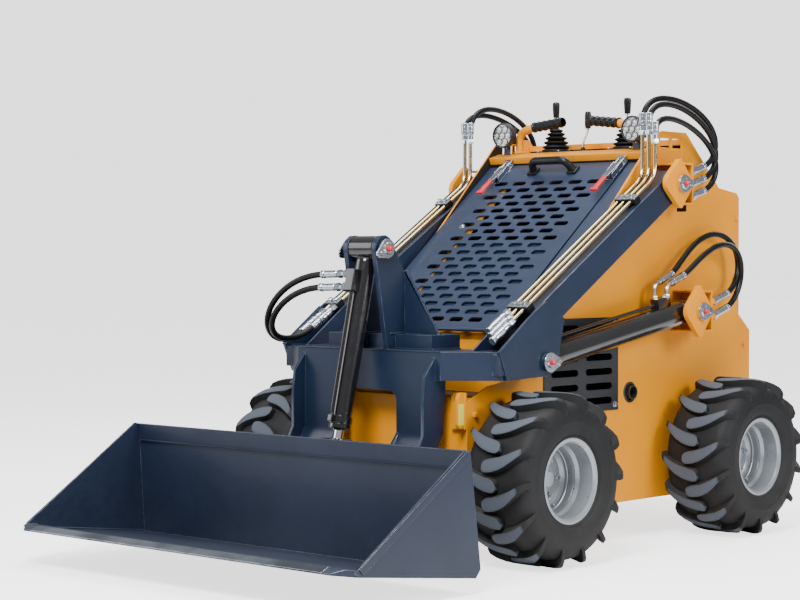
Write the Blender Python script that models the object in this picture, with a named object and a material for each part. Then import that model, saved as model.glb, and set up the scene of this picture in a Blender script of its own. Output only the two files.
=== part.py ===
"""Compact stand-on skid steer loader with a tipping bucket, as separate closed pieces.

Metres, +Z up. The machine faces -Y and +X is its left side. Every outline is written in
machine coordinates: Y from the front axle, Z from the ground. Empties carry the pieces, one
on each joint, and the root empty brings the middle of the machine's length to the origin.
"""

import math

import bmesh
import bpy
from mathutils import Matrix, Vector

# Wheels: an 18 x 8.50-8 tyre on an 8 inch rim.
TYRE_RADIUS = 0.2286
TYRE_WIDTH = 0.216
RIM_RADIUS = 0.1016
TRACK = 0.867
WHEELBASE = 0.892
TYRE_SIDES = 36
RIM_SIDES = 24
BEAD_GAP = 0.0007

# Body: two side panels with everything else between them.
BODY_WIDTH = 0.600
PANEL_THICKNESS = 0.005
BODY_FRONT = -0.150
BELLY_HEIGHT = 0.110
REAR_OVERHANG = 0.233
BUMPER_DEPTH = 0.060
STEP_DEPTH = 0.245
STEP_HEIGHT = 0.215
GRILLE_WIDTH = 0.460
GRILLE_FOOT = (0.054, 0.610)
GRILLE_SLOPE = math.radians(38.7)
GRILLE_LENGTH = 0.764
HANDLE_X = -0.022
DECK_HEIGHT = 1.126

# Loader arms and cylinders: joint points as (Y, Z).
ARM_PIVOT = (0.662, 1.0185)
LIFT_REAR_PIN = (0.762, 0.6515)
LIFT_FRONT_PIN = (0.060, 0.530)
TILT_TOP_PIN = (-0.207, 0.831)
TILT_ROD_PIN = (-0.330, 0.300)
BUCKET_PIN = (-0.335, 0.130)
ARM_INSIDE = 0.310
ARM_THICKNESS = 0.080
BEAM_HEIGHT = 0.080
BEAM_LENGTH = 0.720
ARCH_HALF = 0.106
LEG_OUTSIDE = 0.244
LEG_PLATE = 0.010
ARCH_TOP = 0.456
WEB_FRONT = -0.212
BEAM_SLOPE = math.radians(31.8)
PIN_RADIUS = 0.0125
LIFT_BARREL_RADIUS = 0.035
LIFT_ROD_RADIUS = 0.016
LIFT_CYLINDER_X = 0.352
TILT_BARREL_RADIUS = 0.028
TILT_ROD_RADIUS = 0.013
EYE_RADIUS = 0.030

# Bucket.
BUCKET_WIDTH = 1.215
BUCKET_TOP = (-0.493, 0.347)
BUCKET_BACK_FOOT = (-0.455, 0.059)
BUCKET_HEEL = (-0.472, 0.039)
BUCKET_LIP = (-0.925, 0.0925)
BUCKET_PLATE = 0.006

# Hoses and hard lines.
HOSE_RADIUS = 0.0085
HARD_LINE_RADIUS = 0.006

GAP = 0.0003
PIN_PLAY = 0.0003
HOSE_GAP = 0.0032
HANGER_DEPTH = 0.062
HANGER_HALF = 0.060
UNION_FACE = 0.100

HALF_BODY = BODY_WIDTH / 2
BODY_REAR = WHEELBASE + REAR_OVERHANG
BUMPER_REAR = BODY_REAR + BUMPER_DEPTH
STEP_REAR = BUMPER_REAR + STEP_DEPTH
MIDDLE_Y = (STEP_REAR + BUCKET_LIP[0]) / 2
ARM_OUTSIDE = ARM_INSIDE + ARM_THICKNESS
GRILLE_UP = (math.cos(GRILLE_SLOPE), math.sin(GRILLE_SLOPE))
GRILLE_OUT = (-math.sin(GRILLE_SLOPE), math.cos(GRILLE_SLOPE))
GRILLE_HEAD = (
    GRILLE_FOOT[0] + GRILLE_LENGTH * GRILLE_UP[0],
    GRILLE_FOOT[1] + GRILLE_LENGTH * GRILLE_UP[1],
)


def clear_scene():
    """Removes the objects the start-up scene holds."""
    for obj in list(bpy.data.objects):
        bpy.data.objects.remove(obj)


def material(name, colour, metallic=0.0, roughness=0.5):
    """One plain surface."""
    made = bpy.data.materials.new(name)
    made.use_nodes = True
    shader = made.node_tree.nodes["Principled BSDF"]
    shader.inputs["Base Color"].default_value = (*colour, 1.0)
    shader.inputs["Metallic"].default_value = metallic
    shader.inputs["Roughness"].default_value = roughness
    made.diffuse_color = (*colour, 1.0)
    return made


def body_paint(name):
    return material(name, (0.80, 0.36, 0.02), roughness=0.35)


def frame_paint(name):
    return material(name, (0.030, 0.050, 0.095), roughness=0.45)


def cylinder_paint(name):
    return material(name, (0.010, 0.011, 0.014), roughness=0.15)


def chrome(name):
    return material(name, (0.75, 0.75, 0.76), metallic=1.0, roughness=0.12)


def rubber(name):
    return material(name, (0.020, 0.021, 0.023), roughness=0.75)


def rim_paint(name):
    return material(name, (0.42, 0.45, 0.48), metallic=0.3, roughness=0.4)


def plated_line(name):
    return material(name, (0.60, 0.46, 0.20), metallic=0.9, roughness=0.3)


def engine_paint(name):
    return material(name, (0.10, 0.10, 0.11), metallic=0.2, roughness=0.6)


def object_from(name, shape, smooth=False):
    """Turns a bmesh into an object with its faces pointing outwards."""
    bmesh.ops.recalc_face_normals(shape, faces=shape.faces)
    mesh = bpy.data.meshes.new(name)
    shape.to_mesh(mesh)
    shape.free()
    if smooth:
        mesh.shade_smooth()
        mesh.set_sharp_from_angle(angle=math.radians(35))
    obj = bpy.data.objects.new(name, mesh)
    bpy.context.scene.collection.objects.link(obj)
    return obj


def placed(axis, along, pair):
    """The point with this height along the axis and these two other coordinates, in order."""
    values = list(pair)
    values.insert("XYZ".index(axis), along)
    return values


def prism(name, outline, axis, low, high, smooth=False):
    """An outline pushed along one axis. The outline holds the other two coordinates."""
    shape = bmesh.new()
    rings = []
    for along in (min(low, high), max(low, high)):
        rings.append([shape.verts.new(placed(axis, along, pair)) for pair in outline])
    count = len(outline)
    shape.faces.new(rings[0])
    shape.faces.new(rings[1])
    for i in range(count):
        j = (i + 1) % count
        shape.faces.new((rings[0][i], rings[0][j], rings[1][j], rings[1][i]))
    return object_from(name, shape, smooth)


def box(name, low, high):
    """A block between two corners."""
    corners = [(low[0], low[1]), (high[0], low[1]), (high[0], high[1]), (low[0], high[1])]
    return prism(name, corners, "Z", low[2], high[2])


def arc(centre, radius, start, end, steps):
    """Points on an arc, angles in degrees."""
    points = []
    for i in range(steps + 1):
        angle = math.radians(start + (end - start) * i / steps)
        points.append((centre[0] + radius * math.cos(angle), centre[1] + radius * math.sin(angle)))
    return points


def circle(centre, radius, sides):
    """A full circle that has a point straight below its centre."""
    return arc(centre, radius, -90, 270, sides)[:-1]


def disc(name, axis, centre, radius, low, high, sides=16):
    """A round bar along an axis. The centre holds the other two coordinates."""
    return prism(name, circle(centre, radius, sides), axis, low, high, smooth=True)


def slot(centre, length, height, steps=3):
    """A level slot with round ends."""
    half = (length - height) / 2
    right = arc((centre[0] + half, centre[1]), height / 2, -90, 90, steps)
    left = arc((centre[0] - half, centre[1]), height / 2, 90, 270, steps)
    return right + left


def turned(name, profile, centre, sides):
    """A ring turned about an axle along X. The profile holds (X, radius) pairs."""
    shape = bmesh.new()
    rings = []
    for i in range(sides):
        angle = math.radians(-90) + 2 * math.pi * i / sides
        across = math.cos(angle)
        up = math.sin(angle)
        ring = []
        for x, radius in profile:
            ring.append(shape.verts.new((x, centre[0] + radius * across, centre[1] + radius * up)))
        rings.append(ring)
    count = len(profile)
    for i in range(sides):
        near = rings[i]
        far = rings[(i + 1) % sides]
        for j in range(count):
            k = (j + 1) % count
            shape.faces.new((near[j], near[k], far[k], far[j]))
    return object_from(name, shape, smooth=True)


def rounded_path(corners, radius, step):
    """Points along a bent line whose corners are rounded, spaced by about one step."""
    smooth = [Vector(corners[0])]
    for before, here, after in zip(corners, corners[1:], corners[2:]):
        back = (Vector(before) - Vector(here)).normalized()
        ahead = (Vector(after) - Vector(here)).normalized()
        reach = min(
            radius,
            (Vector(before) - Vector(here)).length * 0.45,
            (Vector(after) - Vector(here)).length * 0.45,
        )
        start = Vector(here) + back * reach
        end = Vector(here) + ahead * reach
        for i in range(5):
            t = i / 4
            smooth.append(start * (1 - t) ** 2 + Vector(here) * 2 * t * (1 - t) + end * t * t)
    smooth.append(Vector(corners[-1]))
    path = [smooth[0]]
    for target in smooth[1:]:
        length = (target - path[-1]).length
        pieces = max(1, math.ceil(length / step))
        start = path[-1]
        path.extend(start.lerp(target, i / pieces) for i in range(1, pieces + 1))
    return path


def tube(name, points, radius, resolution=3):
    """A closed round tube along points."""
    curve = bpy.data.curves.new(name, "CURVE")
    curve.dimensions = "3D"
    curve.bevel_depth = radius
    curve.bevel_resolution = resolution
    curve.use_fill_caps = True
    spline = curve.splines.new("POLY")
    spline.points.add(len(points) - 1)
    for point, place in zip(spline.points, points):
        point.co = (*place, 1.0)
    guide = bpy.data.objects.new(name + "_guide", curve)
    bpy.context.scene.collection.objects.link(guide)
    graph = bpy.context.evaluated_depsgraph_get()
    mesh = bpy.data.meshes.new_from_object(guide.evaluated_get(graph))
    bpy.data.objects.remove(guide)
    shape = bmesh.new()
    shape.from_mesh(mesh)
    bpy.data.meshes.remove(mesh)
    bmesh.ops.remove_doubles(shape, verts=shape.verts, dist=0.00005)
    return object_from(name, shape, smooth=True)


def combine(target, others, operation):
    """Adds an exact Boolean for each other piece, which becomes a hidden helper."""
    for other in others:
        step = target.modifiers.new(other.name, "BOOLEAN")
        step.operation = operation
        step.solver = "EXACT"
        step.object = other
        other.hide_render = True
        other.display_type = "WIRE"
        other.parent = target
    return target


def join(target, others):
    return combine(target, others, "UNION")


def cut(target, others):
    return combine(target, others, "DIFFERENCE")


def finish(obj, surface):
    """Gives a node its own surface."""
    obj.data.materials.clear()
    obj.data.materials.append(surface(obj.name + "_surface"))
    return obj


def direction(start, end):
    """The unit vector from one (Y, Z) point to another."""
    across = end[0] - start[0]
    up = end[1] - start[1]
    length = math.hypot(across, up)
    return (across / length, up / length), length


def moved(point, *steps):
    """A (Y, Z) point moved by pairs of direction and distance."""
    y, z = point
    for way, distance in steps:
        y += way[0] * distance
        z += way[1] * distance
    return (y, z)


def mirrored(side, low, high):
    """A span of X on the left side, or the same span on the right."""
    return (side * low, side * high)


def name_of(stem, side):
    return stem + ("_left" if side > 0 else "_right")


# Body.


def side_panel_outline():
    """Outline of a side panel: flat front, sloping hood edge, raised shoulder and rear bumper."""
    return [
        (BODY_FRONT, BELLY_HEIGHT),
        (BUMPER_REAR, BELLY_HEIGHT),
        (BUMPER_REAR, 0.585),
        (BODY_REAR, 0.634),
        (BODY_REAR, 0.990),
        (BODY_REAR - 0.014, 1.004),
        (1.016, 1.017),
        (0.842, 1.176),
        (0.719, 1.176),
        (0.680, 1.155),
        (-0.004, 0.478),
        (-0.070, 0.466),
        (BODY_FRONT, 0.431),
    ]


def side_panel(side):
    """A side panel with its two drive motors, which are bolted through it."""
    outside = HALF_BODY
    inside = HALF_BODY - PANEL_THICKNESS
    name = name_of("side_panel", side)
    panel = prism(name, side_panel_outline(), "X", *mirrored(side, inside, outside))
    holes = []
    through = mirrored(side, inside - 0.01, outside + 0.01)
    for i, (low, high) in enumerate(((0.712, 0.758), (0.772, 0.818))):
        window = [(low, 1.100), (high, 1.100), (high, 1.155), (low, 1.155)]
        holes.append(prism(f"{name}_window_{i}", window, "X", *through))
    vent = [(0.190, 0.395), (0.482, 0.395), (0.482, 0.620), (0.190, 0.620)]
    holes.append(prism(name + "_vent", vent, "X", *through))
    if side > 0:
        holes.append(disc(name + "_exhaust", "X", (0.563, 0.422), 0.024, *through))
    cut(panel, holes)
    bores = []
    for axle, y in (("front", 0.0), ("rear", WHEELBASE)):
        motor, bore = drive_motor(f"{name}_{axle}_motor", side, y)
        join(panel, [motor])
        bores.append(bore)
    return finish(cut(panel, bores), body_paint)


def drive_motor(name, side, y):
    """A hydraulic motor, and the cutter of the blind bore that the wheel's axle turns in."""
    inner = HALF_BODY - 0.090
    face = TRACK / 2 - TYRE_WIDTH / 2 + 0.006
    centre = (y, TYRE_RADIUS)
    motor = disc(name, "X", centre, 0.052, *mirrored(side, inner, face), sides=20)
    flange = disc(name + "_flange", "X", centre, 0.072, *mirrored(side, HALF_BODY - 0.002, HALF_BODY + 0.010))
    bore = disc(name + "_bore", "X", centre, 0.0205, *mirrored(side, face - 0.045, face + 0.01), sides=20)
    return join(motor, [flange]), bore


def body_tub():
    """The bent plates between the side panels: belly, front wall, front shelf and hood frame."""
    half = HALF_BODY - PANEL_THICKNESS - GAP
    t = 0.005
    shelf = 0.440
    front = BODY_FRONT + 0.004
    foot = moved(GRILLE_FOOT, (GRILLE_OUT, -0.040))
    head = moved(GRILLE_HEAD, (GRILLE_OUT, -0.040), (GRILLE_UP, -0.012))
    outline = [
        (BUMPER_REAR - 0.012, BELLY_HEIGHT + 0.004),
        (front, BELLY_HEIGHT + 0.004),
        (front, shelf),
        (foot[0] - 0.004, shelf),
        foot,
        head,
        moved(head, (GRILLE_OUT, -t)),
        moved(foot, (GRILLE_OUT, -t), (GRILLE_UP, 0.004)),
        (foot[0] - 0.004 + t, shelf - t),
        (front + t, shelf - t),
        (front + t, BELLY_HEIGHT + 0.004 + t),
        (BUMPER_REAR - 0.012, BELLY_HEIGHT + 0.004 + t),
    ]
    tub = prism("body_tub", outline, "X", -half, half)
    opening = [
        moved(foot, (GRILLE_OUT, -0.05), (GRILLE_UP, 0.050)),
        moved(head, (GRILLE_OUT, -0.05), (GRILLE_UP, -0.050)),
        moved(head, (GRILLE_OUT, 0.05), (GRILLE_UP, -0.050)),
        moved(foot, (GRILLE_OUT, 0.05), (GRILLE_UP, 0.050)),
    ]
    inside = GRILLE_WIDTH / 2 - 0.025
    return finish(cut(tub, [prism("body_tub_opening", opening, "X", -inside, inside)]), body_paint)


def control_deck():
    """The folded top under the controls, open below."""
    half = HALF_BODY - PANEL_THICKNESS - GAP
    front = moved(GRILLE_HEAD, (GRILLE_UP, 0.004))
    outline = [
        moved(front, (GRILLE_OUT, -0.035)),
        moved(front, (GRILLE_OUT, 0.004)),
        (front[0] - 0.010, front[1] + 0.022),
        (0.690, DECK_HEIGHT),
        (0.842, DECK_HEIGHT),
        (0.842, DECK_HEIGHT - 0.080),
        (0.838, DECK_HEIGHT - 0.080),
        (0.838, DECK_HEIGHT - 0.005),
        (0.692, DECK_HEIGHT - 0.005),
        (front[0] - 0.003, front[1] + 0.018),
        moved(front, (GRILLE_OUT, 0.000), (GRILLE_UP, 0.005)),
        moved(front, (GRILLE_OUT, -0.035), (GRILLE_UP, 0.005)),
    ]
    return finish(prism("control_deck", outline, "X", -half, half), body_paint)


def rear_cover():
    """The sloping and level cover behind the deck, with the frame that the rear door closes."""
    half = HALF_BODY - PANEL_THICKNESS - GAP
    t = 0.004
    rear = BODY_REAR - 0.010
    outline = [
        (0.842 + GAP * 2, 1.140),
        (0.842 + GAP * 2, 1.158),
        (1.012, 1.006),
        (rear, 0.994),
        (rear, 0.640),
        (rear - t, 0.640),
        (rear - t, 0.990),
        (1.010, 1.002),
        (0.846 + t, 1.146),
        (0.846 + t, 1.140),
    ]
    cover = prism("rear_cover", outline, "X", -half, half)
    hole = box("rear_cover_opening", (-half + 0.045, rear - 0.02, 0.620), (half - 0.045, rear + 0.02, 0.955))
    return finish(cut(cover, [hole]), body_paint)


def rear_door():
    """The door over the rear opening, hinged on the right, with its knob on the left."""
    half = HALF_BODY - PANEL_THICKNESS - 0.012
    rear = BODY_REAR - 0.010
    door = box("rear_door", (-half, rear + 0.001, 0.642), (half, rear + 0.009, 0.976))
    knob = disc("rear_door_knob", "Y", (half - 0.045, 0.81), 0.012, rear + 0.008, rear + 0.030, sides=16)
    return finish(join(door, [knob]), body_paint)


def rear_step():
    """The standing step on two brackets from the bumper plate."""
    half = HALF_BODY - PANEL_THICKNESS - GAP
    wall = box("rear_step", (-half, BUMPER_REAR - 0.008, 0.125), (half, BUMPER_REAR, 0.580))
    tread = box(
        "rear_step_tread",
        (-half + 0.03, BUMPER_REAR - 0.004, STEP_HEIGHT - 0.006),
        (half - 0.03, STEP_REAR, STEP_HEIGHT),
    )
    lip = box(
        "rear_step_lip",
        (-half + 0.03, STEP_REAR - 0.006, STEP_HEIGHT - 0.035),
        (half - 0.03, STEP_REAR, STEP_HEIGHT - 0.002),
    )
    shoulder = [
        (BUMPER_REAR - 0.008, 0.575),
        (BUMPER_REAR, 0.575),
        (BUMPER_REAR, 0.587),
        (BODY_REAR - 0.004, 0.626),
        (BODY_REAR - 0.010, 0.619),
    ]
    others = [tread, lip, prism("rear_step_shoulder", shoulder, "X", -half, half)]
    for side in (-1, 1):
        ends = mirrored(side, half - 0.036, half - 0.030)
        bracket = [
            (BUMPER_REAR - 0.004, STEP_HEIGHT - 0.075),
            (STEP_REAR - 0.002, STEP_HEIGHT - 0.030),
            (STEP_REAR - 0.002, STEP_HEIGHT - 0.002),
            (BUMPER_REAR - 0.004, STEP_HEIGHT - 0.002),
        ]
        others.append(prism(name_of("rear_step_bracket", side), bracket, "X", *ends))
    return finish(join(wall, others), body_paint)


def vent_cover(side):
    """A slotted cover over the opening in a side panel."""
    name = name_of("vent_cover", side)
    low = HALF_BODY + GAP
    outline = []
    corners = (((0.492, 0.388), -90), ((0.492, 0.627), 0), ((0.180, 0.627), 90), ((0.180, 0.388), 180))
    for centre, start in corners:
        outline += arc(centre, 0.014, start, start + 90, 3)
    cover = prism(name, outline, "X", *mirrored(side, low, low + 0.003))
    slots = []
    for column in range(2):
        for row in range(6):
            centre = (0.258 + 0.156 * column, 0.405 + 0.041 * row)
            one = slot(centre, 0.118, 0.017)
            slots.append(prism(f"{name}_slot_{column}{row}", one, "X", *mirrored(side, low - 0.01, low + 0.02)))
    return finish(cut(cover, slots), frame_paint)


def exhaust_pipe():
    """The short pipe that ends through the left side panel."""
    pipe = disc("exhaust_pipe", "X", (0.563, 0.422), 0.020, HALF_BODY - 0.060, HALF_BODY + 0.014)
    bore = disc("exhaust_pipe_bore", "X", (0.563, 0.422), 0.0175, HALF_BODY - 0.040, HALF_BODY + 0.03)
    return finish(cut(pipe, [bore]), engine_paint)


def engine_block():
    """The engine as one plain block on the belly plate."""
    half = HALF_BODY - 0.110
    base = BELLY_HEIGHT + 0.009 + GAP
    block = box("engine_block", (-half, 0.640, 0.330), (half, 1.060, 0.780))
    feet = []
    for i, (low, high) in enumerate(((0.660, 0.720), (0.980, 1.040))):
        feet.append(box(f"engine_block_foot_{i}", (-half, low, base), (half, high, 0.335)))
    return finish(join(block, feet), engine_paint)


def hood_grille():
    """The sloping hood panel with its side flanges, hinged along its foot."""
    half = GRILLE_WIDTH / 2
    t = 0.004
    rise = 0.026
    outline = [
        GRILLE_FOOT,
        GRILLE_HEAD,
        moved(GRILLE_HEAD, (GRILLE_OUT, -t)),
        moved(GRILLE_FOOT, (GRILLE_OUT, -t)),
    ]
    panel = prism("hood_grille", outline, "X", -half, half)
    flange = [
        moved(GRILLE_FOOT, (GRILLE_OUT, -t / 2), (GRILLE_UP, 0.001)),
        moved(GRILLE_HEAD, (GRILLE_OUT, -t / 2), (GRILLE_UP, -0.001)),
        moved(GRILLE_HEAD, (GRILLE_OUT, -rise), (GRILLE_UP, -0.001)),
        moved(GRILLE_FOOT, (GRILLE_OUT, -rise), (GRILLE_UP, 0.001)),
    ]
    flanges = []
    for side in (-1, 1):
        span = mirrored(side, half - t - 0.0005, half - 0.0005)
        flanges.append(prism(name_of("hood_grille_flange", side), flange, "X", *span))
    return finish(join(panel, flanges), frame_paint)


def grille_handle():
    """The bow handle at the top of the hood panel."""
    out = Vector((0, *GRILLE_OUT))
    base = Vector((HANDLE_X, *moved(GRILLE_HEAD, (GRILLE_UP, -0.040))))
    low = 0.0035
    corners = []
    for x, height in ((-0.075, low), (-0.062, 0.042), (0.062, 0.042), (0.075, low)):
        corners.append(base + Vector((x, 0, 0)) + out * height)
    path = rounded_path(corners, 0.022, 0.02)
    handle = tube("grille_handle", path, 0.009)
    return finish(handle, rubber)


# Brackets on the body.


def hanger(side, stem, pin, half_height, forward):
    """A diamond plate outside a loader pin, carried off the side panel by a channel behind it."""
    name = name_of(stem, side)
    y, z = pin
    inner = ARM_OUTSIDE + 0.005
    outer = inner + 0.016
    rear = y + HANGER_DEPTH
    outline = arc((y - forward + 0.030, z), 0.030, 225, 135, 4)
    outline += [(y - 0.012, z + half_height), (y - 0.002, z + half_height)]
    outline += [(y + 0.054, z + 0.010), (y + 0.054, z - 0.010)]
    outline += [(y + 0.002, z - half_height), (y - 0.010, z - half_height)]
    plate = prism(name, outline, "X", *mirrored(side, inner, outer))
    t = 0.006
    channel = [
        (y + 0.012, z + HANGER_HALF),
        (y + 0.012, z + HANGER_HALF - t),
        (rear - t, z + HANGER_HALF - t),
        (rear - t, z - HANGER_HALF + t),
        (y + 0.002, z - HANGER_HALF + t),
        (y + 0.002, z - HANGER_HALF),
        (rear, z - HANGER_HALF),
        (rear, z + HANGER_HALF),
    ]
    carrier = prism(name + "_channel", channel, "X", *mirrored(side, HALF_BODY + GAP, outer - 0.004))
    low = (y + HANGER_DEPTH - 0.002, z - HANGER_HALF + 0.006)
    high = (y + UNION_FACE, z + HANGER_HALF - 0.006)
    corners = [low, (high[0], low[1]), high, (low[0], high[1])]
    block = prism(name + "_block", corners, "X", *mirrored(side, HALF_BODY + 0.016, HALF_BODY + 0.070))
    pin_bar = disc(name + "_pin", "X", pin, PIN_RADIUS, *mirrored(side, HALF_BODY + GAP, outer + 0.010))
    cap = disc(name + "_cap", "X", pin, 0.024, *mirrored(side, outer - 0.002, outer + 0.006))
    join(plate, [carrier, block, pin_bar, cap])
    return plate


def upper_bracket(side):
    """The arm's pivot hanger, with the body's upper hose unions."""
    plate = hanger(side, "upper_bracket", ARM_PIVOT, 0.070, 0.075)
    unions = []
    count = 3 if side > 0 else 2
    for i in range(count):
        start, end = upper_union(side, i)
        way = (end - start).normalized()
        unions.append(tube(f"{plate.name}_union_{i}", [start - way * 0.008, end], 0.0105, 2))
    return finish(join(plate, unions), body_paint)


def upper_union(side, i):
    """Start and end of one hose union behind the arm's pivot."""
    z = ARM_PIVOT[1] + 0.028 - 0.036 * i
    start = Vector((side * (HALF_BODY + 0.045), ARM_PIVOT[0] + UNION_FACE, z))
    return start, start + Vector((0, 0.095, 0.026))


def lower_bracket(side):
    """The lift cylinder's rear hanger, with the body's lower hose unions."""
    plate = hanger(side, "lower_bracket", LIFT_REAR_PIN, 0.075, 0.072)
    unions = []
    for i in range(2):
        start, end = lower_union(side, i)
        way = (end - start).normalized()
        unions.append(tube(f"{plate.name}_union_{i}", [start - way * 0.008, end], 0.0100, 2))
    return finish(join(plate, unions), body_paint)


def lower_union(side, i):
    """Start and end of one hose union behind the lift cylinder's hanger."""
    z = LIFT_REAR_PIN[1] + 0.014 - 0.042 * i
    start = Vector((side * (HALF_BODY + 0.055), LIFT_REAR_PIN[0] + UNION_FACE, z))
    return start, start + Vector((0, 0.105, 0.032))


# Controls.


def hand_bar(side):
    """A bent bar on the deck with a grip on its level end."""
    name = name_of("hand_bar", side)
    foot = Vector((side * 0.222, 0.705, DECK_HEIGHT + 0.0012))
    corners = [
        foot,
        Vector((side * 0.220, 0.703, 1.188)),
        Vector((side * 0.170, 0.700, 1.203)),
        Vector((side * 0.050, 0.700, 1.216)),
    ]
    bar = tube(name, rounded_path(corners, 0.03, 0.02), 0.0125)
    grip = tube(name + "_grip", [corners[2].lerp(corners[3], 0.08), corners[3] + Vector((-side * 0.002, 0, 0))], 0.0165)
    return finish(join(bar, [grip]), body_paint)


def joystick(side):
    """A drive lever with its folded boot, rod and handle."""
    name = name_of("joystick", side)
    x = side * 0.135
    y = 0.775
    base = DECK_HEIGHT + GAP
    boot = disc(name, "Z", (x, y), 0.046, base, base + 0.014)
    others = []
    for i, (radius, low) in enumerate(((0.040, 0.012), (0.033, 0.030), (0.026, 0.048))):
        others.append(disc(f"{name}_fold_{i}", "Z", (x, y), radius, base + low, base + low + 0.019))
    others.append(disc(name + "_rod", "Z", (x, y), 0.005, base + 0.060, base + 0.120, sides=12))
    others.append(disc(name + "_handle", "Z", (x, y), 0.0115, base + 0.112, base + 0.158, sides=20))
    return finish(join(boot, others), rubber)


def throttle_lever():
    """The bent lever in the middle of the deck."""
    base = Vector((0.0, 0.735, DECK_HEIGHT + GAP))
    corners = [
        base,
        base + Vector((0.0, 0.0, 0.030)),
        base + Vector((0.018, 0.0, 0.060)),
        base + Vector((0.018, 0.0, 0.105)),
    ]
    lever = tube("throttle_lever", rounded_path(corners, 0.012, 0.01), 0.0035)
    knob = tube("throttle_lever_knob", [corners[3] - Vector((0, 0, 0.03)), corners[3] + Vector((0, 0, 0.012))], 0.009)
    return finish(join(lever, [knob]), rubber)


def work_lamp(side):
    """A round lamp on a small foot at a front corner of the deck."""
    name = name_of("work_lamp", side)
    x = side * 0.244
    lamp = disc(name, "Y", (x, 1.181), 0.039, 0.644, 0.664, sides=28)
    back = disc(name + "_back", "Y", (x, 1.181), 0.030, 0.662, 0.680, sides=20)
    foot = box(name + "_foot", (x - 0.012, 0.668, DECK_HEIGHT - 0.0035), (x + 0.012, 0.676, 1.170))
    return finish(join(lamp, [back, foot]), engine_paint)


# Wheels.


def tyre(name, side, y):
    """An open carcass whose outer radius is the top of the tread."""
    centre_x = side * TRACK / 2
    half = TYRE_WIDTH / 2
    bead = RIM_RADIUS + BEAD_GAP
    profile = [
        (-half + 0.022, bead),
        (-half, bead + 0.050),
        (-half, TYRE_RADIUS - 0.040),
        (-half + 0.014, TYRE_RADIUS - 0.008),
        (-half + 0.040, TYRE_RADIUS),
        (half - 0.040, TYRE_RADIUS),
        (half - 0.014, TYRE_RADIUS - 0.008),
        (half, TYRE_RADIUS - 0.040),
        (half, bead + 0.050),
        (half - 0.022, bead),
        (half - 0.038, bead),
        (half - 0.016, bead + 0.050),
        (half - 0.036, TYRE_RADIUS - 0.032),
        (-half + 0.036, TYRE_RADIUS - 0.032),
        (-half + 0.016, bead + 0.050),
        (-half + 0.038, bead),
    ]
    shifted = [(centre_x + x, radius) for x, radius in profile]
    return finish(turned(name, shifted, (y, TYRE_RADIUS), TYRE_SIDES), rubber)


def rim(name, side, y):
    """A dished steel rim with the hub and axle end that carry it."""
    centre_x = side * TRACK / 2
    centre = (y, TYRE_RADIUS)
    half = TYRE_WIDTH / 2
    edge = half - 0.022 - GAP
    seat = RIM_RADIUS
    profile = [
        (-edge - 0.0085, seat - 0.004),
        (-edge - 0.0085, seat),
        (-edge + 0.035, seat),
        (-edge + 0.050, seat - 0.014),
        (edge - 0.050, seat - 0.014),
        (edge - 0.035, seat),
        (edge + 0.0085, seat),
        (edge + 0.0085, seat - 0.004),
        (edge - 0.033, seat - 0.004),
        (edge - 0.048, seat - 0.018),
        (-edge + 0.048, seat - 0.018),
        (-edge + 0.033, seat - 0.004),
    ]
    shifted = [(centre_x + side * x, radius) for x, radius in profile]
    barrel = turned(name, shifted, centre, RIM_SIDES)
    face = TRACK / 2 - half + 0.006
    plate_x = TRACK / 2 - 0.010
    plate = disc(name + "_plate", "X", centre, seat - 0.016, *mirrored(side, plate_x, plate_x + 0.006), RIM_SIDES)
    hub = disc(name + "_hub", "X", centre, 0.050, *mirrored(side, face + 0.0008, plate_x + 0.001), 20)
    nose = disc(name + "_nose", "X", centre, 0.030, *mirrored(side, plate_x, plate_x + 0.022))
    axle = disc(name + "_axle", "X", centre, 0.0202, *mirrored(side, face - 0.040, face + 0.002), sides=20)
    return finish(join(barrel, [plate, hub, nose, axle]), rim_paint)


# Loader arms.


def beam_frame():
    """Unit vectors of an arm beam, forwards along it and up across it."""
    along = (-math.cos(BEAM_SLOPE), -math.sin(BEAM_SLOPE))
    across = (-math.sin(BEAM_SLOPE), math.cos(BEAM_SLOPE))
    return along, across


def arm_beam(side):
    """A box beam, open at its front end, with the bored boss that turns on the pivot pin."""
    along, across = beam_frame()
    half = BEAM_HEIGHT / 2
    name = name_of("arm_beam", side)
    rear_angle = math.degrees(BEAM_SLOPE)
    outline = arc(ARM_PIVOT, half, rear_angle - 90, rear_angle + 90, 6)
    outline.append(moved(ARM_PIVOT, (along, BEAM_LENGTH), (across, half)))
    outline.append(moved(ARM_PIVOT, (along, BEAM_LENGTH - 0.010), (across, -half)))
    beam = prism(name, outline, "X", *mirrored(side, ARM_INSIDE, ARM_OUTSIDE))
    wall = 0.006
    hollow = [
        moved(ARM_PIVOT, (along, 0.060), (across, half - wall)),
        moved(ARM_PIVOT, (along, BEAM_LENGTH + 0.05), (across, half - wall)),
        moved(ARM_PIVOT, (along, BEAM_LENGTH + 0.05), (across, wall - half)),
        moved(ARM_PIVOT, (along, 0.060), (across, wall - half)),
    ]
    inside = prism(name + "_hollow", hollow, "X", *mirrored(side, ARM_INSIDE + wall, ARM_OUTSIDE - wall))
    bore = disc(
        name + "_bore",
        "X",
        ARM_PIVOT,
        PIN_RADIUS + PIN_PLAY,
        *mirrored(side, ARM_INSIDE - 0.01, ARM_OUTSIDE + 0.01),
    )
    return finish(cut(beam, [inside, bore]), frame_paint)


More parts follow.
